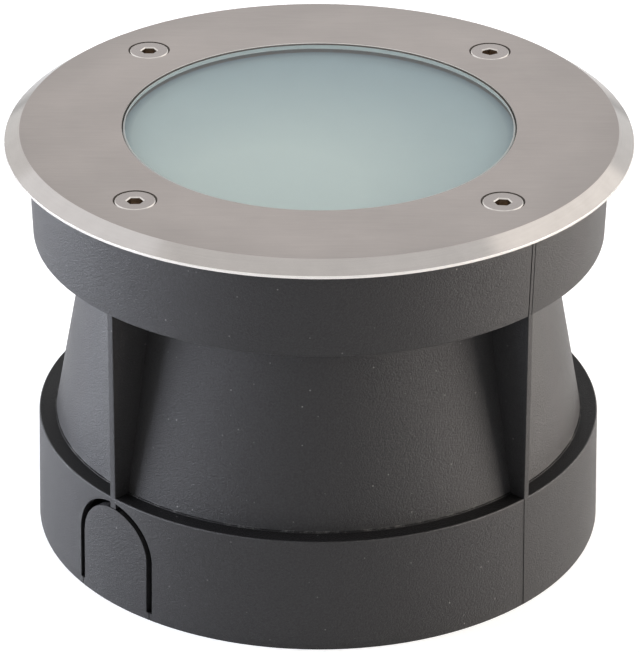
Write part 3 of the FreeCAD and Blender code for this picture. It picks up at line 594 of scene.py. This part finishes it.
def paint(piece, materials, choose):
    """Give a piece its materials; choose returns the number of the one that a face takes."""
    piece.data.materials.clear()
    for material in materials:
        piece.data.materials.append(material)
    for face in piece.data.polygons:
        face.material_index = choose(face)


def hand_over(piece, body, slot, *nodes, angle=35.0):
    """Shade a piece, let it ride on its body and let it stand for its CAD nodes."""
    only(piece)
    bpy.ops.object.shade_smooth_by_angle(angle=math.radians(angle))
    apply_modifier(piece, "WEIGHTED_NORMAL", keep_sharp=True)
    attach(piece, body)
    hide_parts(*nodes)
    nothing_selected()


def even_turns(count, first):
    """Return turns in radians, evenly spread round the axis from a first one in degrees."""
    return [math.radians(first) + math.tau * k / count for k in range(count)]


def screw_centres():
    """Return the centres of the screw holes in metres."""
    reach = SCREW_CIRCLE * MM
    return [Vector((reach * math.cos(turn), reach * math.sin(turn), 0))
            for turn in even_turns(SCREW_COUNT, FIRST_SCREW)]


# -------- operators

class BuildStage(bpy.types.Operator):
    """Set up the camera, the soft light and the pale floor"""

    bl_idname = "well_light.build_stage"
    bl_label = "Stage"

    # name, place and size in metres, radiance, and the setting that holds the colour
    soft_boxes = (
        ("HighBoxLeft", (-0.81, 0.30, 0.76), (0.92, 0.9), 0.32, "left_colour"),
        ("HighBoxRight", (0.82, 0.34, 0.76), (0.95, 0.82), 0.52, "right_colour"),
        (SIDE_BOXES[0], (-1.0, 0.0, 0.2), (0.8, 0.44), 22.5, "left_colour"),
        (SIDE_BOXES[1], (1.0, 0.0, 0.2), (0.8, 0.44), 19.5, "right_colour"),
    )
    aim_height = 0.07
    sensor_width = 36.0
    sight_starts, sight_ends = 0.05, 20.0
    floor_size = 6.0

    def execute(self, context):
        stage = context.scene.well_light_stage
        self.add_camera(context, stage)
        self.add_floor()
        self.light_world(context, stage)
        for name, place, size, radiance, colour in self.soft_boxes:
            self.add_soft_box(name, place, size, radiance, getattr(stage, colour))
        context.scene.view_settings.view_transform = "Standard"
        return {"FINISHED"}

    def add_camera(self, context, stage):
        """Stand the camera where the photograph was taken from."""
        nothing_selected()
        target = Vector((0, 0, stage.target_height))
        back = Vector((0, -math.cos(stage.elevation), math.sin(stage.elevation)))
        bpy.ops.object.camera_add(location=target + back * stage.distance)
        camera = context.object
        camera.name = "PhotoCamera"
        camera.rotation_mode = "QUATERNION"
        level = (-back).to_track_quat("-Z", "Y")
        camera.rotation_quaternion = level @ Quaternion((0, 0, 1), stage.roll)
        camera.data.sensor_width = self.sensor_width
        camera.data.lens = stage.lens
        camera.data.shift_x = stage.shift
        camera.data.clip_start = self.sight_starts
        camera.data.clip_end = self.sight_ends
        context.scene.camera = camera

    def add_floor(self):
        """Lay a pale floor that stays white in view but keeps the object's soft shadow.

        Its lift stops under the sleeve, so that the hollow inside stays as dark as it is. It is
        full only far from the object, and mirrors show a share of it that shrinks further out.
        """
        hollow_ends, wall_ends = 80.7 * MM, 82.7 * MM
        mirror_near, mirror_far = 120 * MM, 260 * MM
        full_starts, full_ends = 0.5, 0.9
        tooth_size = 3.0
        floor = new_piece("Floor", bpy.ops.mesh.primitive_plane_add, size=self.floor_size)
        material, tree, place = new_material("MattWhitePaper")
        reach = node(tree, "VectorMath", {0: place}, operation="LENGTH")
        mirrored = node(tree, "MapRange", {
            "Value": reach, "From Min": mirror_near, "From Max": mirror_far,
            "To Min": 0.6, "To Max": 0.25})
        clear = node(tree, "MapRange", {
            "Value": reach, "From Min": hollow_ends, "From Max": wall_ends})
        shown = node(tree, "Math", {
            0: self.seen_directly(tree, mirrored), 1: clear}, operation="MULTIPLY")
        full = node(tree, "MapRange", {
            "Value": reach, "From Min": full_starts, "From Max": full_ends, "To Min": 0.5})
        strength = node(tree, "Math", {0: shown, 1: full}, operation="MULTIPLY")
        tooth = node(tree, "TexNoise", {
            "Vector": place, "Scale": per_metre(tooth_size), "Detail": 2.0})
        tone = node(tree, "Mix", {
            FACTOR: tooth, COLOUR_A: "#e2e2e2", COLOUR_B: "#e8e8e8"}, data_type="RGBA")
        paper = node(tree, "BsdfDiffuse", {"Color": tone})
        lift = node(tree, "Emission", {"Color": "#ffffff", "Strength": strength})
        floor.data.materials.append(close_material(material, "AddShader", {0: paper, 1: lift}))

    def seen_directly(self, tree, mirrored=1.0):
        """Return 1 for what is seen straight or through glass, and a share of it in mirrors."""
        path = node(tree, "LightPath")
        mirror = node(tree, "Math", {
            0: path.outputs["Is Glossy Ray"], 1: mirrored}, operation="MULTIPLY")
        first = node(tree, "Math", {
            0: path.outputs["Is Camera Ray"], 1: mirror}, operation="MAXIMUM")
        return node(tree, "Math", {
            0: first, 1: path.outputs["Is Transmission Ray"]}, operation="MAXIMUM")

    def light_world(self, context, stage):
        """Fill the room with plain light; it shows as white behind the object.

        In metal and glass the ceiling is a little dimmer than the white walls.
        """
        wall_top, ceiling = 0.35, 0.96
        world = context.scene.world or bpy.data.worlds.new("Studio")
        context.scene.world = world
        world.use_nodes = True
        tree = world.node_tree
        tree.nodes.clear()
        straight = node(tree, "LightPath").outputs["Is Camera Ray"]
        height = node(tree, "SeparateXYZ", {
            "Vector": node(tree, "TexCoord").outputs["Generated"]}).outputs["Z"]
        room = node(tree, "MapRange", {
            "Value": height, "From Min": wall_top, "To Min": 1.0, "To Max": ceiling})
        mirrored = node(tree, "Mix", {
            FACTOR: self.seen_directly(tree), FLOAT_A: stage.ambient, FLOAT_B: room})
        strength = node(tree, "Mix", {FACTOR: straight, FLOAT_A: mirrored, FLOAT_B: 1.0})
        light = node(tree, "Background", {"Color": "#ffffff", "Strength": strength})
        node(tree, "OutputWorld", {"Surface": light})

    def add_soft_box(self, name, place, size, radiance, colour):
        """Hang one soft box that faces the object."""
        nothing_selected()
        aim = Vector((0, 0, self.aim_height)) - Vector(place)
        bpy.ops.object.light_add(
            type="AREA", location=place, rotation=aim.to_track_quat("-Z", "Y").to_euler())
        lamp = bpy.context.object
        lamp.name = name
        lamp.data.shape = "RECTANGLE"
        lamp.data.size, lamp.data.size_y = size
        lamp.data.color = linear(colour)[:3]
        lamp.data.energy = radiance * math.pi * size[0] * size[1]


class BuildSleeve(bpy.types.Operator):
    """Model the black mounting sleeve with its webs, knock-outs and screw bosses"""

    bl_idname = "well_light.build_sleeve"
    bl_label = "Mounting sleeve"

    # the wall's outline, as radii and heights in millimetres
    outer_foot, ring_rim = (83.2, 0), (82.4, LEDGE)
    cone_top, shelf_rim = (66.6, SHELF), (82.5, SHELF)
    collar_rim, inner_foot = (83.4, 121), (80.7, 0)
    outline = (
        outer_foot, ring_rim, (STEP_RADIUS, LEDGE), (STEP_RADIUS, STEP_TOP),
        (CONE_FOOT_RADIUS, STEP_TOP), cone_top, shelf_rim, collar_rim, (80.4, 121), (79.2, 96.4),
        (63.8, 96.4), (74.5, 32.3), (79.9, 32.3), inner_foot, outer_foot)
    boss_outline = ((5.5, 95), (5.5, 114.5), (4.05, 114.5), (4.05, 97.5))

    # the knock-outs' slots, in millimetres
    first_knockout = 45
    slot_radius = 14.0
    slot_width = 2.0
    slot_foot = 2.4
    slot_centre = 18.3
    slot_floor = 78.8
    slot_beyond = 6
    arch_steps = 128
    groove_reach = (81.7, 84)
    groove_half = 0.15

    # the webs: turns in degrees, and bars and edges in millimetres
    web_turns = (45, 135, 225, 315.9)
    web_bar = ((75.9, 82.3), (-1.1, 1.1), 33.55), ((65.2, 81.9), (-1.1, 1.1), 94.9)
    tab_bar = ((80.2, 82.25), (-1.1, 1.1), 31.0), ((80.2, 82.25), (-1.1, 1.1), 34.2)
    web_outer_face = 81.0
    web_edge = 0.3

    # the mould's parting lines
    first_parting = 135.3
    ring_flash = ((82.0, 83.36), (-0.13, 0.13), 0.3), ((81.0, 82.57), (-0.13, 0.13), LEDGE - 0.3)
    web_flash = (((81.0, 82.47), (-0.13, 0.13), LEDGE - 0.6),
                 ((81.0, 82.07), (-0.13, 0.13), SHELF + 0.3))
    seam_grooves = ((-0.95, -0.6), (0.42, 0.66))
    seam_foot_reach, seam_top_reach, seam_top = (82.2, 86), (83.1, 87), 122

    def execute(self, context):
        sizes = context.scene.well_light_sleeve
        sleeve = turned("MountingSleeve", self.outline)
        round_rings(sleeve, [self.ring_rim, self.shelf_rim], sizes.edge_rounding)
        round_rings(sleeve, [self.cone_top], sizes.inner_rounding, steps=4)
        round_rings(sleeve, [self.outer_foot, self.inner_foot, self.collar_rim],
                    sizes.edge_rounding / 2, steps=2)
        for turn in even_turns(2, self.first_knockout):
            combine(sleeve, settle(self.slot_tool(), turn))
            for side in (-1, 1):
                combine(sleeve, settle(self.foot_groove(side), turn))
        for turn in self.web_turns:
            combine(sleeve, settle(self.web(), math.radians(turn)), "UNION")
        for centre in screw_centres():
            boss = turned("Boss", self.boss_outline, SMALL_RING_STEPS)
            combine(sleeve, settle(boss, 0, centre), "UNION")
        for turn in even_turns(2, self.first_parting):
            combine(sleeve, settle(self.flash_line(), turn), "UNION")
            for across in self.seam_grooves:
                seam = block("CollarSeam", (self.seam_foot_reach, across, SHELF - 1),
                             (self.seam_top_reach, across, self.seam_top))
                combine(sleeve, settle(seam, turn))
        paint(sleeve, [
            moulded_black_plastic(
                "MouldedBlackPolypropylene", sizes.dark_tone, sizes.light_tone, gloss=0.37),
            # the second finish: a duller sheen, and darker tones as painted shade on the level
            # faces
            moulded_black_plastic(
                "BlackPolypropyleneWithPaintedShade", sizes.ledge_shade_dark, sizes.ledge_shade_light, gloss=0.1)],
            self.finish_of)
        hand_over(sleeve, "sleeve", "sleeve_plastic", "mounting_sleeve")
        return {"FINISHED"}

    def finish_of(self, face):
        """Tell the grained walls from the level faces below the shelf, duller and darker as painted
        shade.
        """
        return int(face.normal.z > LEVEL and face.center.z < SHELF * MM)

    def slot_tool(self):
        """Bend a strip into the arch of a conduit knock-out's slot."""
        tool = new_piece(
            "SlotTool", bpy.ops.mesh.primitive_circle_add, vertices=self.arch_steps,
            radius=self.slot_radius * MM, rotation=(QUARTER, 0, QUARTER))
        pick(tool, "VERT", lambda point: point.co.z < -NEAR)
        bpy.ops.mesh.delete(type="VERT")
        pick(tool, "VERT", lambda point: point.co.z < NEAR)
        bpy.ops.mesh.extrude_vertices_move(
            TRANSFORM_OT_translate={"value": (0, 0, (self.slot_foot - self.slot_centre) * MM)})
        bpy.ops.mesh.select_all(action="SELECT")
        bpy.ops.mesh.extrude_region_move(
            TRANSFORM_OT_translate={"value": (self.slot_beyond * MM, 0, 0)})
        apply_modifier(tool, "SOLIDIFY", thickness=self.slot_width * MM, offset=0,
                       use_even_offset=True)
        tool.location = (self.slot_floor * MM, 0, self.slot_centre * MM)
        return clean(settle(tool))

    def foot_groove(self, side):
        """Shape the fine groove that runs on from one leg of the slot to the sleeve's foot."""
        middle = side * self.slot_radius
        across = (middle - self.groove_half, middle + self.groove_half)
        return block("Groove", (self.groove_reach, across, -0.5),
                     (self.groove_reach, across, self.slot_foot + 0.3))

    def web(self):
        """Shape one web with the tab that holds a knock-out, its outer edges slightly rounded."""
        web = block("Web", *self.web_bar)
        pick(web, "EDGE", lambda edge: abs(edge.verts[0].co.z - edge.verts[1].co.z) > MM
             and min(end.co.x for end in edge.verts) > self.web_outer_face * MM)
        bpy.ops.mesh.bevel(offset=self.web_edge * MM, segments=2, affect="EDGES")
        combine(web, block("Tab", *self.tab_bar), "UNION")
        return web

    def flash_line(self):
        """Lay the thin witness line of the mould's parting up the ring and the web."""
        line = block("FlashLine", *self.ring_flash)
        combine(line, block("WebFlash", *self.web_flash), "UNION")
        return line


class BuildBezel(bpy.types.Operator):
    """Model the stainless bezel with its chamfer and countersunk holes"""

    bl_idname = "well_light.build_bezel"
    bl_label = "Bezel"

    # a countersunk hole's outline, in millimetres
    hole_radius = 3.4
    sink_depth = 2.95
    land_radius, land_depth = 6.14, 0.15
    mouth_radius = 6.16
    beyond = (6.2, 0.5)

    # the rims carry a painted highlight, the countersinks a painted shade
    PLATE, CHAMFER, RIM, COUNTERSINK = range(4)
    steep_face = 0.9
    near_edge = 0.3

    def execute(self, context):
        sizes = context.scene.well_light_bezel
        lip, low_lip = (APERTURE_RADIUS, BEZEL_TOP), (APERTURE_RADIUS, BEZEL_UNDERSIDE)
        rim, low_rim = (BEZEL_RADIUS, BEZEL_UNDERSIDE + RIM_HEIGHT), (BEZEL_RADIUS, BEZEL_UNDERSIDE)
        shoulder = (BEZEL_RADIUS - CHAMFER_WIDTH, BEZEL_TOP)
        bezel = turned("Bezel", [low_lip, low_rim, rim, shoulder, lip, low_lip])
        round_rings(bezel, [shoulder, low_rim], sizes.edge_break, steps=2)
        round_rings(bezel, [rim], sizes.edge_break * 2)
        round_rings(bezel, [lip, low_lip], sizes.edge_break * 2, steps=2)
        for centre in screw_centres():
            tool = turned("Countersink", [
                (self.hole_radius, BEZEL_UNDERSIDE - 1),
                (self.hole_radius, BEZEL_TOP - self.sink_depth),
                (self.land_radius, BEZEL_TOP - self.land_depth), (self.mouth_radius, BEZEL_TOP),
                (self.beyond[0], BEZEL_TOP + self.beyond[1])], SMALL_RING_STEPS)
            combine(bezel, settle(tool, 0, centre))
        paint(bezel, [
            brushed_stainless_plate("BrushedStainlessPlate", sizes.plate_colour),
            turned_stainless("TurnedStainlessChamfer", sizes.chamfer_colour),
            # painted highlight on the rims and painted shade in the countersinks
            turned_stainless("StainlessRimPaintedHighlight", sizes.rim_highlight_colour, roughness=0.2),
            bare_metal("CountersinkSteelPaintedShade", "#3f3a36", "#55504b", 0.5)], self.finish_of)
        hand_over(bezel, "cover", "bezel_steel", "bezel")
        return {"FINISHED"}

    def finish_of(self, face):
        """Tell the brushed plate from its chamfer, its rims with painted highlight and the
        countersinks with painted shade.
        """
        out, up = face.center.xy.length / MM, face.center.z / MM
        steep = face.normal.z < self.steep_face
        if up < BEZEL_UNDERSIDE + NEAR / MM:
            return self.PLATE
        if out > BEZEL_RADIUS - 0.1:
            return self.RIM
        if out > BEZEL_RADIUS - CHAMFER_WIDTH + 0.05:
            return self.CHAMFER
        if steep and out < APERTURE_RADIUS + self.near_edge and up > BEZEL_TOP - self.near_edge:
            return self.RIM
        return self.COUNTERSINK if steep and out > APERTURE_RADIUS + 3 else self.PLATE


class BuildBezelScrews(bpy.types.Operator):
    """Model one countersunk screw and copy it to its four holes"""

    bl_idname = "well_light.build_bezel_screws"
    bl_label = "Bezel screws"

    # radii and heights in millimetres
    point_end, thread_foot = (1.9, 99.95), 100.6
    neck_foot, neck_top = (3.0, 121.0), (3.0, 121.75)
    head_edge, head_rim = (5.9, 124.6), (5.5, 124.95)
    head_break = 0.06
    head_top = 124.95
    socket_mouth = 124.6
    socket_reach = 2.42
    socket_flare = 0.36
    socket_depth = 2.4
    socket_turn = 30
    root_radius = 2.5
    core_radius = 2.52
    thread_radius = 2.98
    crest = 0.14
    pitch = 1.0
    thread_top = 120.4
    thread_steps = 40

    # the socket takes a painted shade, the chamfered edges of the head a painted highlight
    TURNED, SOCKET, EDGE = range(3)

    def execute(self, context):
        colour = context.scene.well_light_bezel.screw_colour
        pattern = self.screw()
        paint(pattern, [
            turned_stainless("TurnedStainlessScrew", colour, line_mm=0.2, roughness=0.24),
            # painted shade in the socket, painted highlight on the head's chamfered edges
            bare_metal("SocketSteelPaintedShade", "#8f7f6e", "#a39382", 0.45),
            bare_metal("StainlessEdgePaintedHighlight", "#cbc5c0", "#dcd7d2", 0.22)], self.finish_of)
        for number, (turn, centre) in enumerate(zip(SCREW_TURNS, screw_centres()), 1):
            only(pattern)
            bpy.ops.object.duplicate(linked=False)
            screw = bpy.context.object
            screw.name = f"BezelScrew_{number}"
            settle(screw, math.radians(turn), centre)
            hand_over(screw, f"screw_{number}", "screw_steel", f"bezel_screw_{number}", angle=30)
        bpy.data.objects.remove(pattern)
        return {"FINISHED"}

    def finish_of(self, face):
        """Tell the turned faces from the socket, in painted shade, and from the chamfered edges, in
        painted highlight.
        """
        out, up = face.center.xy.length / MM, face.center.z / MM
        if out < 2.6 and 122 < up < self.socket_mouth:
            return self.SOCKET
        bright = up > self.socket_mouth - 0.03 and face.normal.z < LEVEL
        return self.EDGE if bright else self.TURNED

    def screw(self):
        """Turn the head and the core, sink the hex socket and wind the thread on."""
        screw = turned("Screw", [
            self.point_end, (self.core_radius, self.thread_foot),
            (self.core_radius, self.thread_top), self.neck_foot, self.neck_top, self.head_edge,
            self.head_rim], SMALL_RING_STEPS)
        round_rings(screw, [self.head_edge, self.head_rim], self.head_break * MM, steps=2)
        socket = turned("Socket", [
            (self.socket_reach, self.head_top - self.socket_depth),
            (self.socket_reach, self.socket_mouth),
            (self.socket_reach + self.socket_flare, self.head_top + 0.1)], 6)
        combine(screw, settle(socket, math.radians(self.socket_turn)))
        clean(screw)
        thread = self.thread()
        only(screw)
        thread.select_set(True)
        bpy.ops.object.join()
        return bpy.context.object

    def thread(self):
        """Shape the profile of one thread and wind it up the core with the Screw modifier."""
        half = self.pitch / 2
        middle = Vector((self.root_radius + half, 0, self.thread_foot + half)) * MM
        thread = new_piece("Thread", bpy.ops.mesh.primitive_plane_add, size=self.pitch * MM,
                           location=middle, rotation=(QUARTER, 0, 0))
        pick(thread, "VERT", lambda point: point.co.x > middle.x)
        bpy.ops.transform.resize(value=(1, 1, self.crest / self.pitch), center_override=middle)
        depth = self.thread_radius - self.root_radius
        bpy.ops.transform.translate(value=((depth - self.pitch) * MM, 0, 0))
        apply_modifier(
            thread, "SCREW", axis="Z", screw_offset=self.pitch * MM,
            iterations=int(self.thread_top - self.thread_foot - self.pitch),
            steps=self.thread_steps, render_steps=self.thread_steps, use_merge_vertices=True)
        return clean(thread)


class BuildGlass(bpy.types.Operator):
    """Model the stepped glass with its polished top and sandblasted underside"""

    bl_idname = "well_light.build_glass"
    bl_label = "Glass"

    # in millimetres
    gap = 0.25
    flange_thickness = 3.6
    top_edge = 0.6
    flange_edge = 0.5
    blasted_beyond = 0.5

    POLISHED, FROSTED, GROUND = range(3)

    def execute(self, context):
        look = context.scene.well_light_glass
        boss = APERTURE_RADIUS - self.gap
        step = GLASS_FOOT + self.flange_thickness
        foot, flange = (GLASS_FLANGE_RADIUS, GLASS_FOOT), (GLASS_FLANGE_RADIUS, step)
        glass = turned("GlassLens", [foot, flange, (boss, step), (boss, GLASS_TOP)])
        round_rings(glass, [(boss, GLASS_TOP)], self.top_edge * MM, steps=2)
        round_rings(glass, [foot, flange], self.flange_edge * MM, steps=2)
        paint(glass, [
            polished_glass("PolishedGreenishGlass", look.body_colour),
            frosted_glass("SandblastedGlass", look.frost_colour, look.shaded_frost,
                          look.frost_roughness, look.gasket_shade),
            frosted_glass("GroundGlassEdge", look.edge_colour, look.edge_colour, 0.6,
                          look.edge_colour)], self.finish_of)
        hand_over(glass, "cover", "frosted_glass", "glass_lens")
        return {"FINISHED"}

    def finish_of(self, face):
        """Tell the polished top from the blasted underside and the ground edge."""
        if face.center.z < GLASS_FOOT * MM + NEAR:
            return self.FROSTED
        outer = face.center.xy.length > (APERTURE_RADIUS + self.blasted_beyond) * MM
        return self.GROUND if outer or face.normal.z < LEVEL else self.POLISHED


class FinishInnerPieces(bpy.types.Operator):
    """Give the CAD pieces inside the light their finishes"""

    bl_idname = "well_light.finish_inner_pieces"
    bl_label = "Inner pieces"

    def execute(self, context):
        finishes = {
            plain_moulding("MouldedBlackRubber", "#1c1c1c", "#262626", 0.7): (
                "seat_washers", "gland_seal", "gland_insert"),
            plain_moulding("MouldedGreySilicone", "#8d9191", "#9da1a1", 0.45, ior=1.41): (
                "lens_gasket_upper", "lens_gasket_lower"),
            bare_metal("ZincPlatedSteel", "#b3b6b8", "#c4c7c9", 0.3): (
                "spreader_screws", "board_screws", "driver_screws", "terminal_fixings",
                "earth_washer"),
            bare_metal("TurnedBrass", "#c19a55", "#d6b06a", 0.28): (
                "threaded_inserts", "terminal_screws", "earth_screw"),
            plain_moulding("NaturalPolyamide", "#d6d2c4", "#e0dccf", 0.42): (
                "terminal_block", "board_plug"),
            plain_moulding("BlackPolyamide", "#1f1f20", "#2a2a2b", 0.42): (
                "gland_body", "gland_cap", "breather"),
            plain_moulding("PowderCoatedCasting", "#3a3b3d", "#444547", 0.55, 0.8): (
                "lamp_housing",),
            plain_moulding("WhitePolycarbonate", "#ebebe8", "#f2f2ef", 0.4): ("reflector",),
            plain_moulding("WhiteSolderMask", "#e4e6e2", "#eceeea", 0.35): ("led_board",),
            plain_moulding("PhosphorGel", "#e9cc55", "#f2da70", 0.3): ("led_packages",),
            plain_moulding("GreyPolycarbonate", "#b9bcbe", "#c6c9cb", 0.45): (
                "driver_case", "driver_lid"),
            bare_metal("RolledAluminium", "#c3c6ca", "#d4d7da", 0.35): ("heat_spreader",),
        }
        for finish, names in finishes.items():
            for name in names:
                NODES[name].data.materials.clear()
                NODES[name].data.materials.append(finish)
        return {"FINISHED"}


class FlagSideLight(bpy.types.Operator):
    """Keep the low side light off the plate, its screws and the glass, as a studio flag does"""

    bl_idname = "well_light.flag_side_light"
    bl_label = "Side light flags"

    def execute(self, context):
        flagged = bpy.data.collections.new("FlaggedFromSideLight")
        for piece in bpy.data.objects:
            if piece.name.startswith(("Bezel", "GlassLens")):
                flagged.objects.link(piece)
        for member in flagged.collection_objects:
            member.light_linking.link_state = "EXCLUDE"
        for name in SIDE_BOXES:
            bpy.data.objects[name].light_linking.receiver_collection = flagged
        return {"FINISHED"}


# -------- panel and registration

OPERATORS = (BuildStage, BuildSleeve, BuildBezel, BuildBezelScrews, BuildGlass, FinishInnerPieces,
             FlagSideLight)
SETTINGS = {
    "well_light_stage": StageSettings,
    "well_light_sleeve": SleeveSettings,
    "well_light_bezel": BezelSettings,
    "well_light_glass": GlassSettings,
}


class WellLightPanel(bpy.types.Panel):
    """Lists the settings and the steps of the well light"""

    bl_idname = "VIEW3D_PT_well_light"
    bl_label = "Well Light"
    bl_space_type = "VIEW_3D"
    bl_region_type = "UI"
    bl_category = "Well Light"

    def draw(self, context):
        for name, group in SETTINGS.items():
            box = self.layout.box()
            box.label(text=group.__doc__)
            for setting in group.__annotations__:
                box.prop(getattr(context.scene, name), setting)
        for operator in OPERATORS:
            self.layout.operator(operator.bl_idname)


CLASSES = (*SETTINGS.values(), *OPERATORS, WellLightPanel)


def register():
    """Add the classes and hang the settings on the scene."""
    for item in CLASSES:
        bpy.utils.register_class(item)
    for name, group in SETTINGS.items():
        setattr(bpy.types.Scene, name, bpy.props.PointerProperty(type=group))


def unregister():
    """Take the settings and the classes away again."""
    for name in SETTINGS:
        delattr(bpy.types.Scene, name)
    for item in reversed(CLASSES):
        bpy.utils.unregister_class(item)


def main():
    """Build everything in order."""
    register()
    bpy.ops.well_light.build_stage()
    bpy.ops.well_light.build_sleeve()
    bpy.ops.well_light.build_bezel()
    bpy.ops.well_light.build_bezel_screws()
    bpy.ops.well_light.build_glass()
    bpy.ops.well_light.finish_inner_pieces()
    bpy.ops.well_light.flag_side_light()


if __name__ == "__main__":
    main()
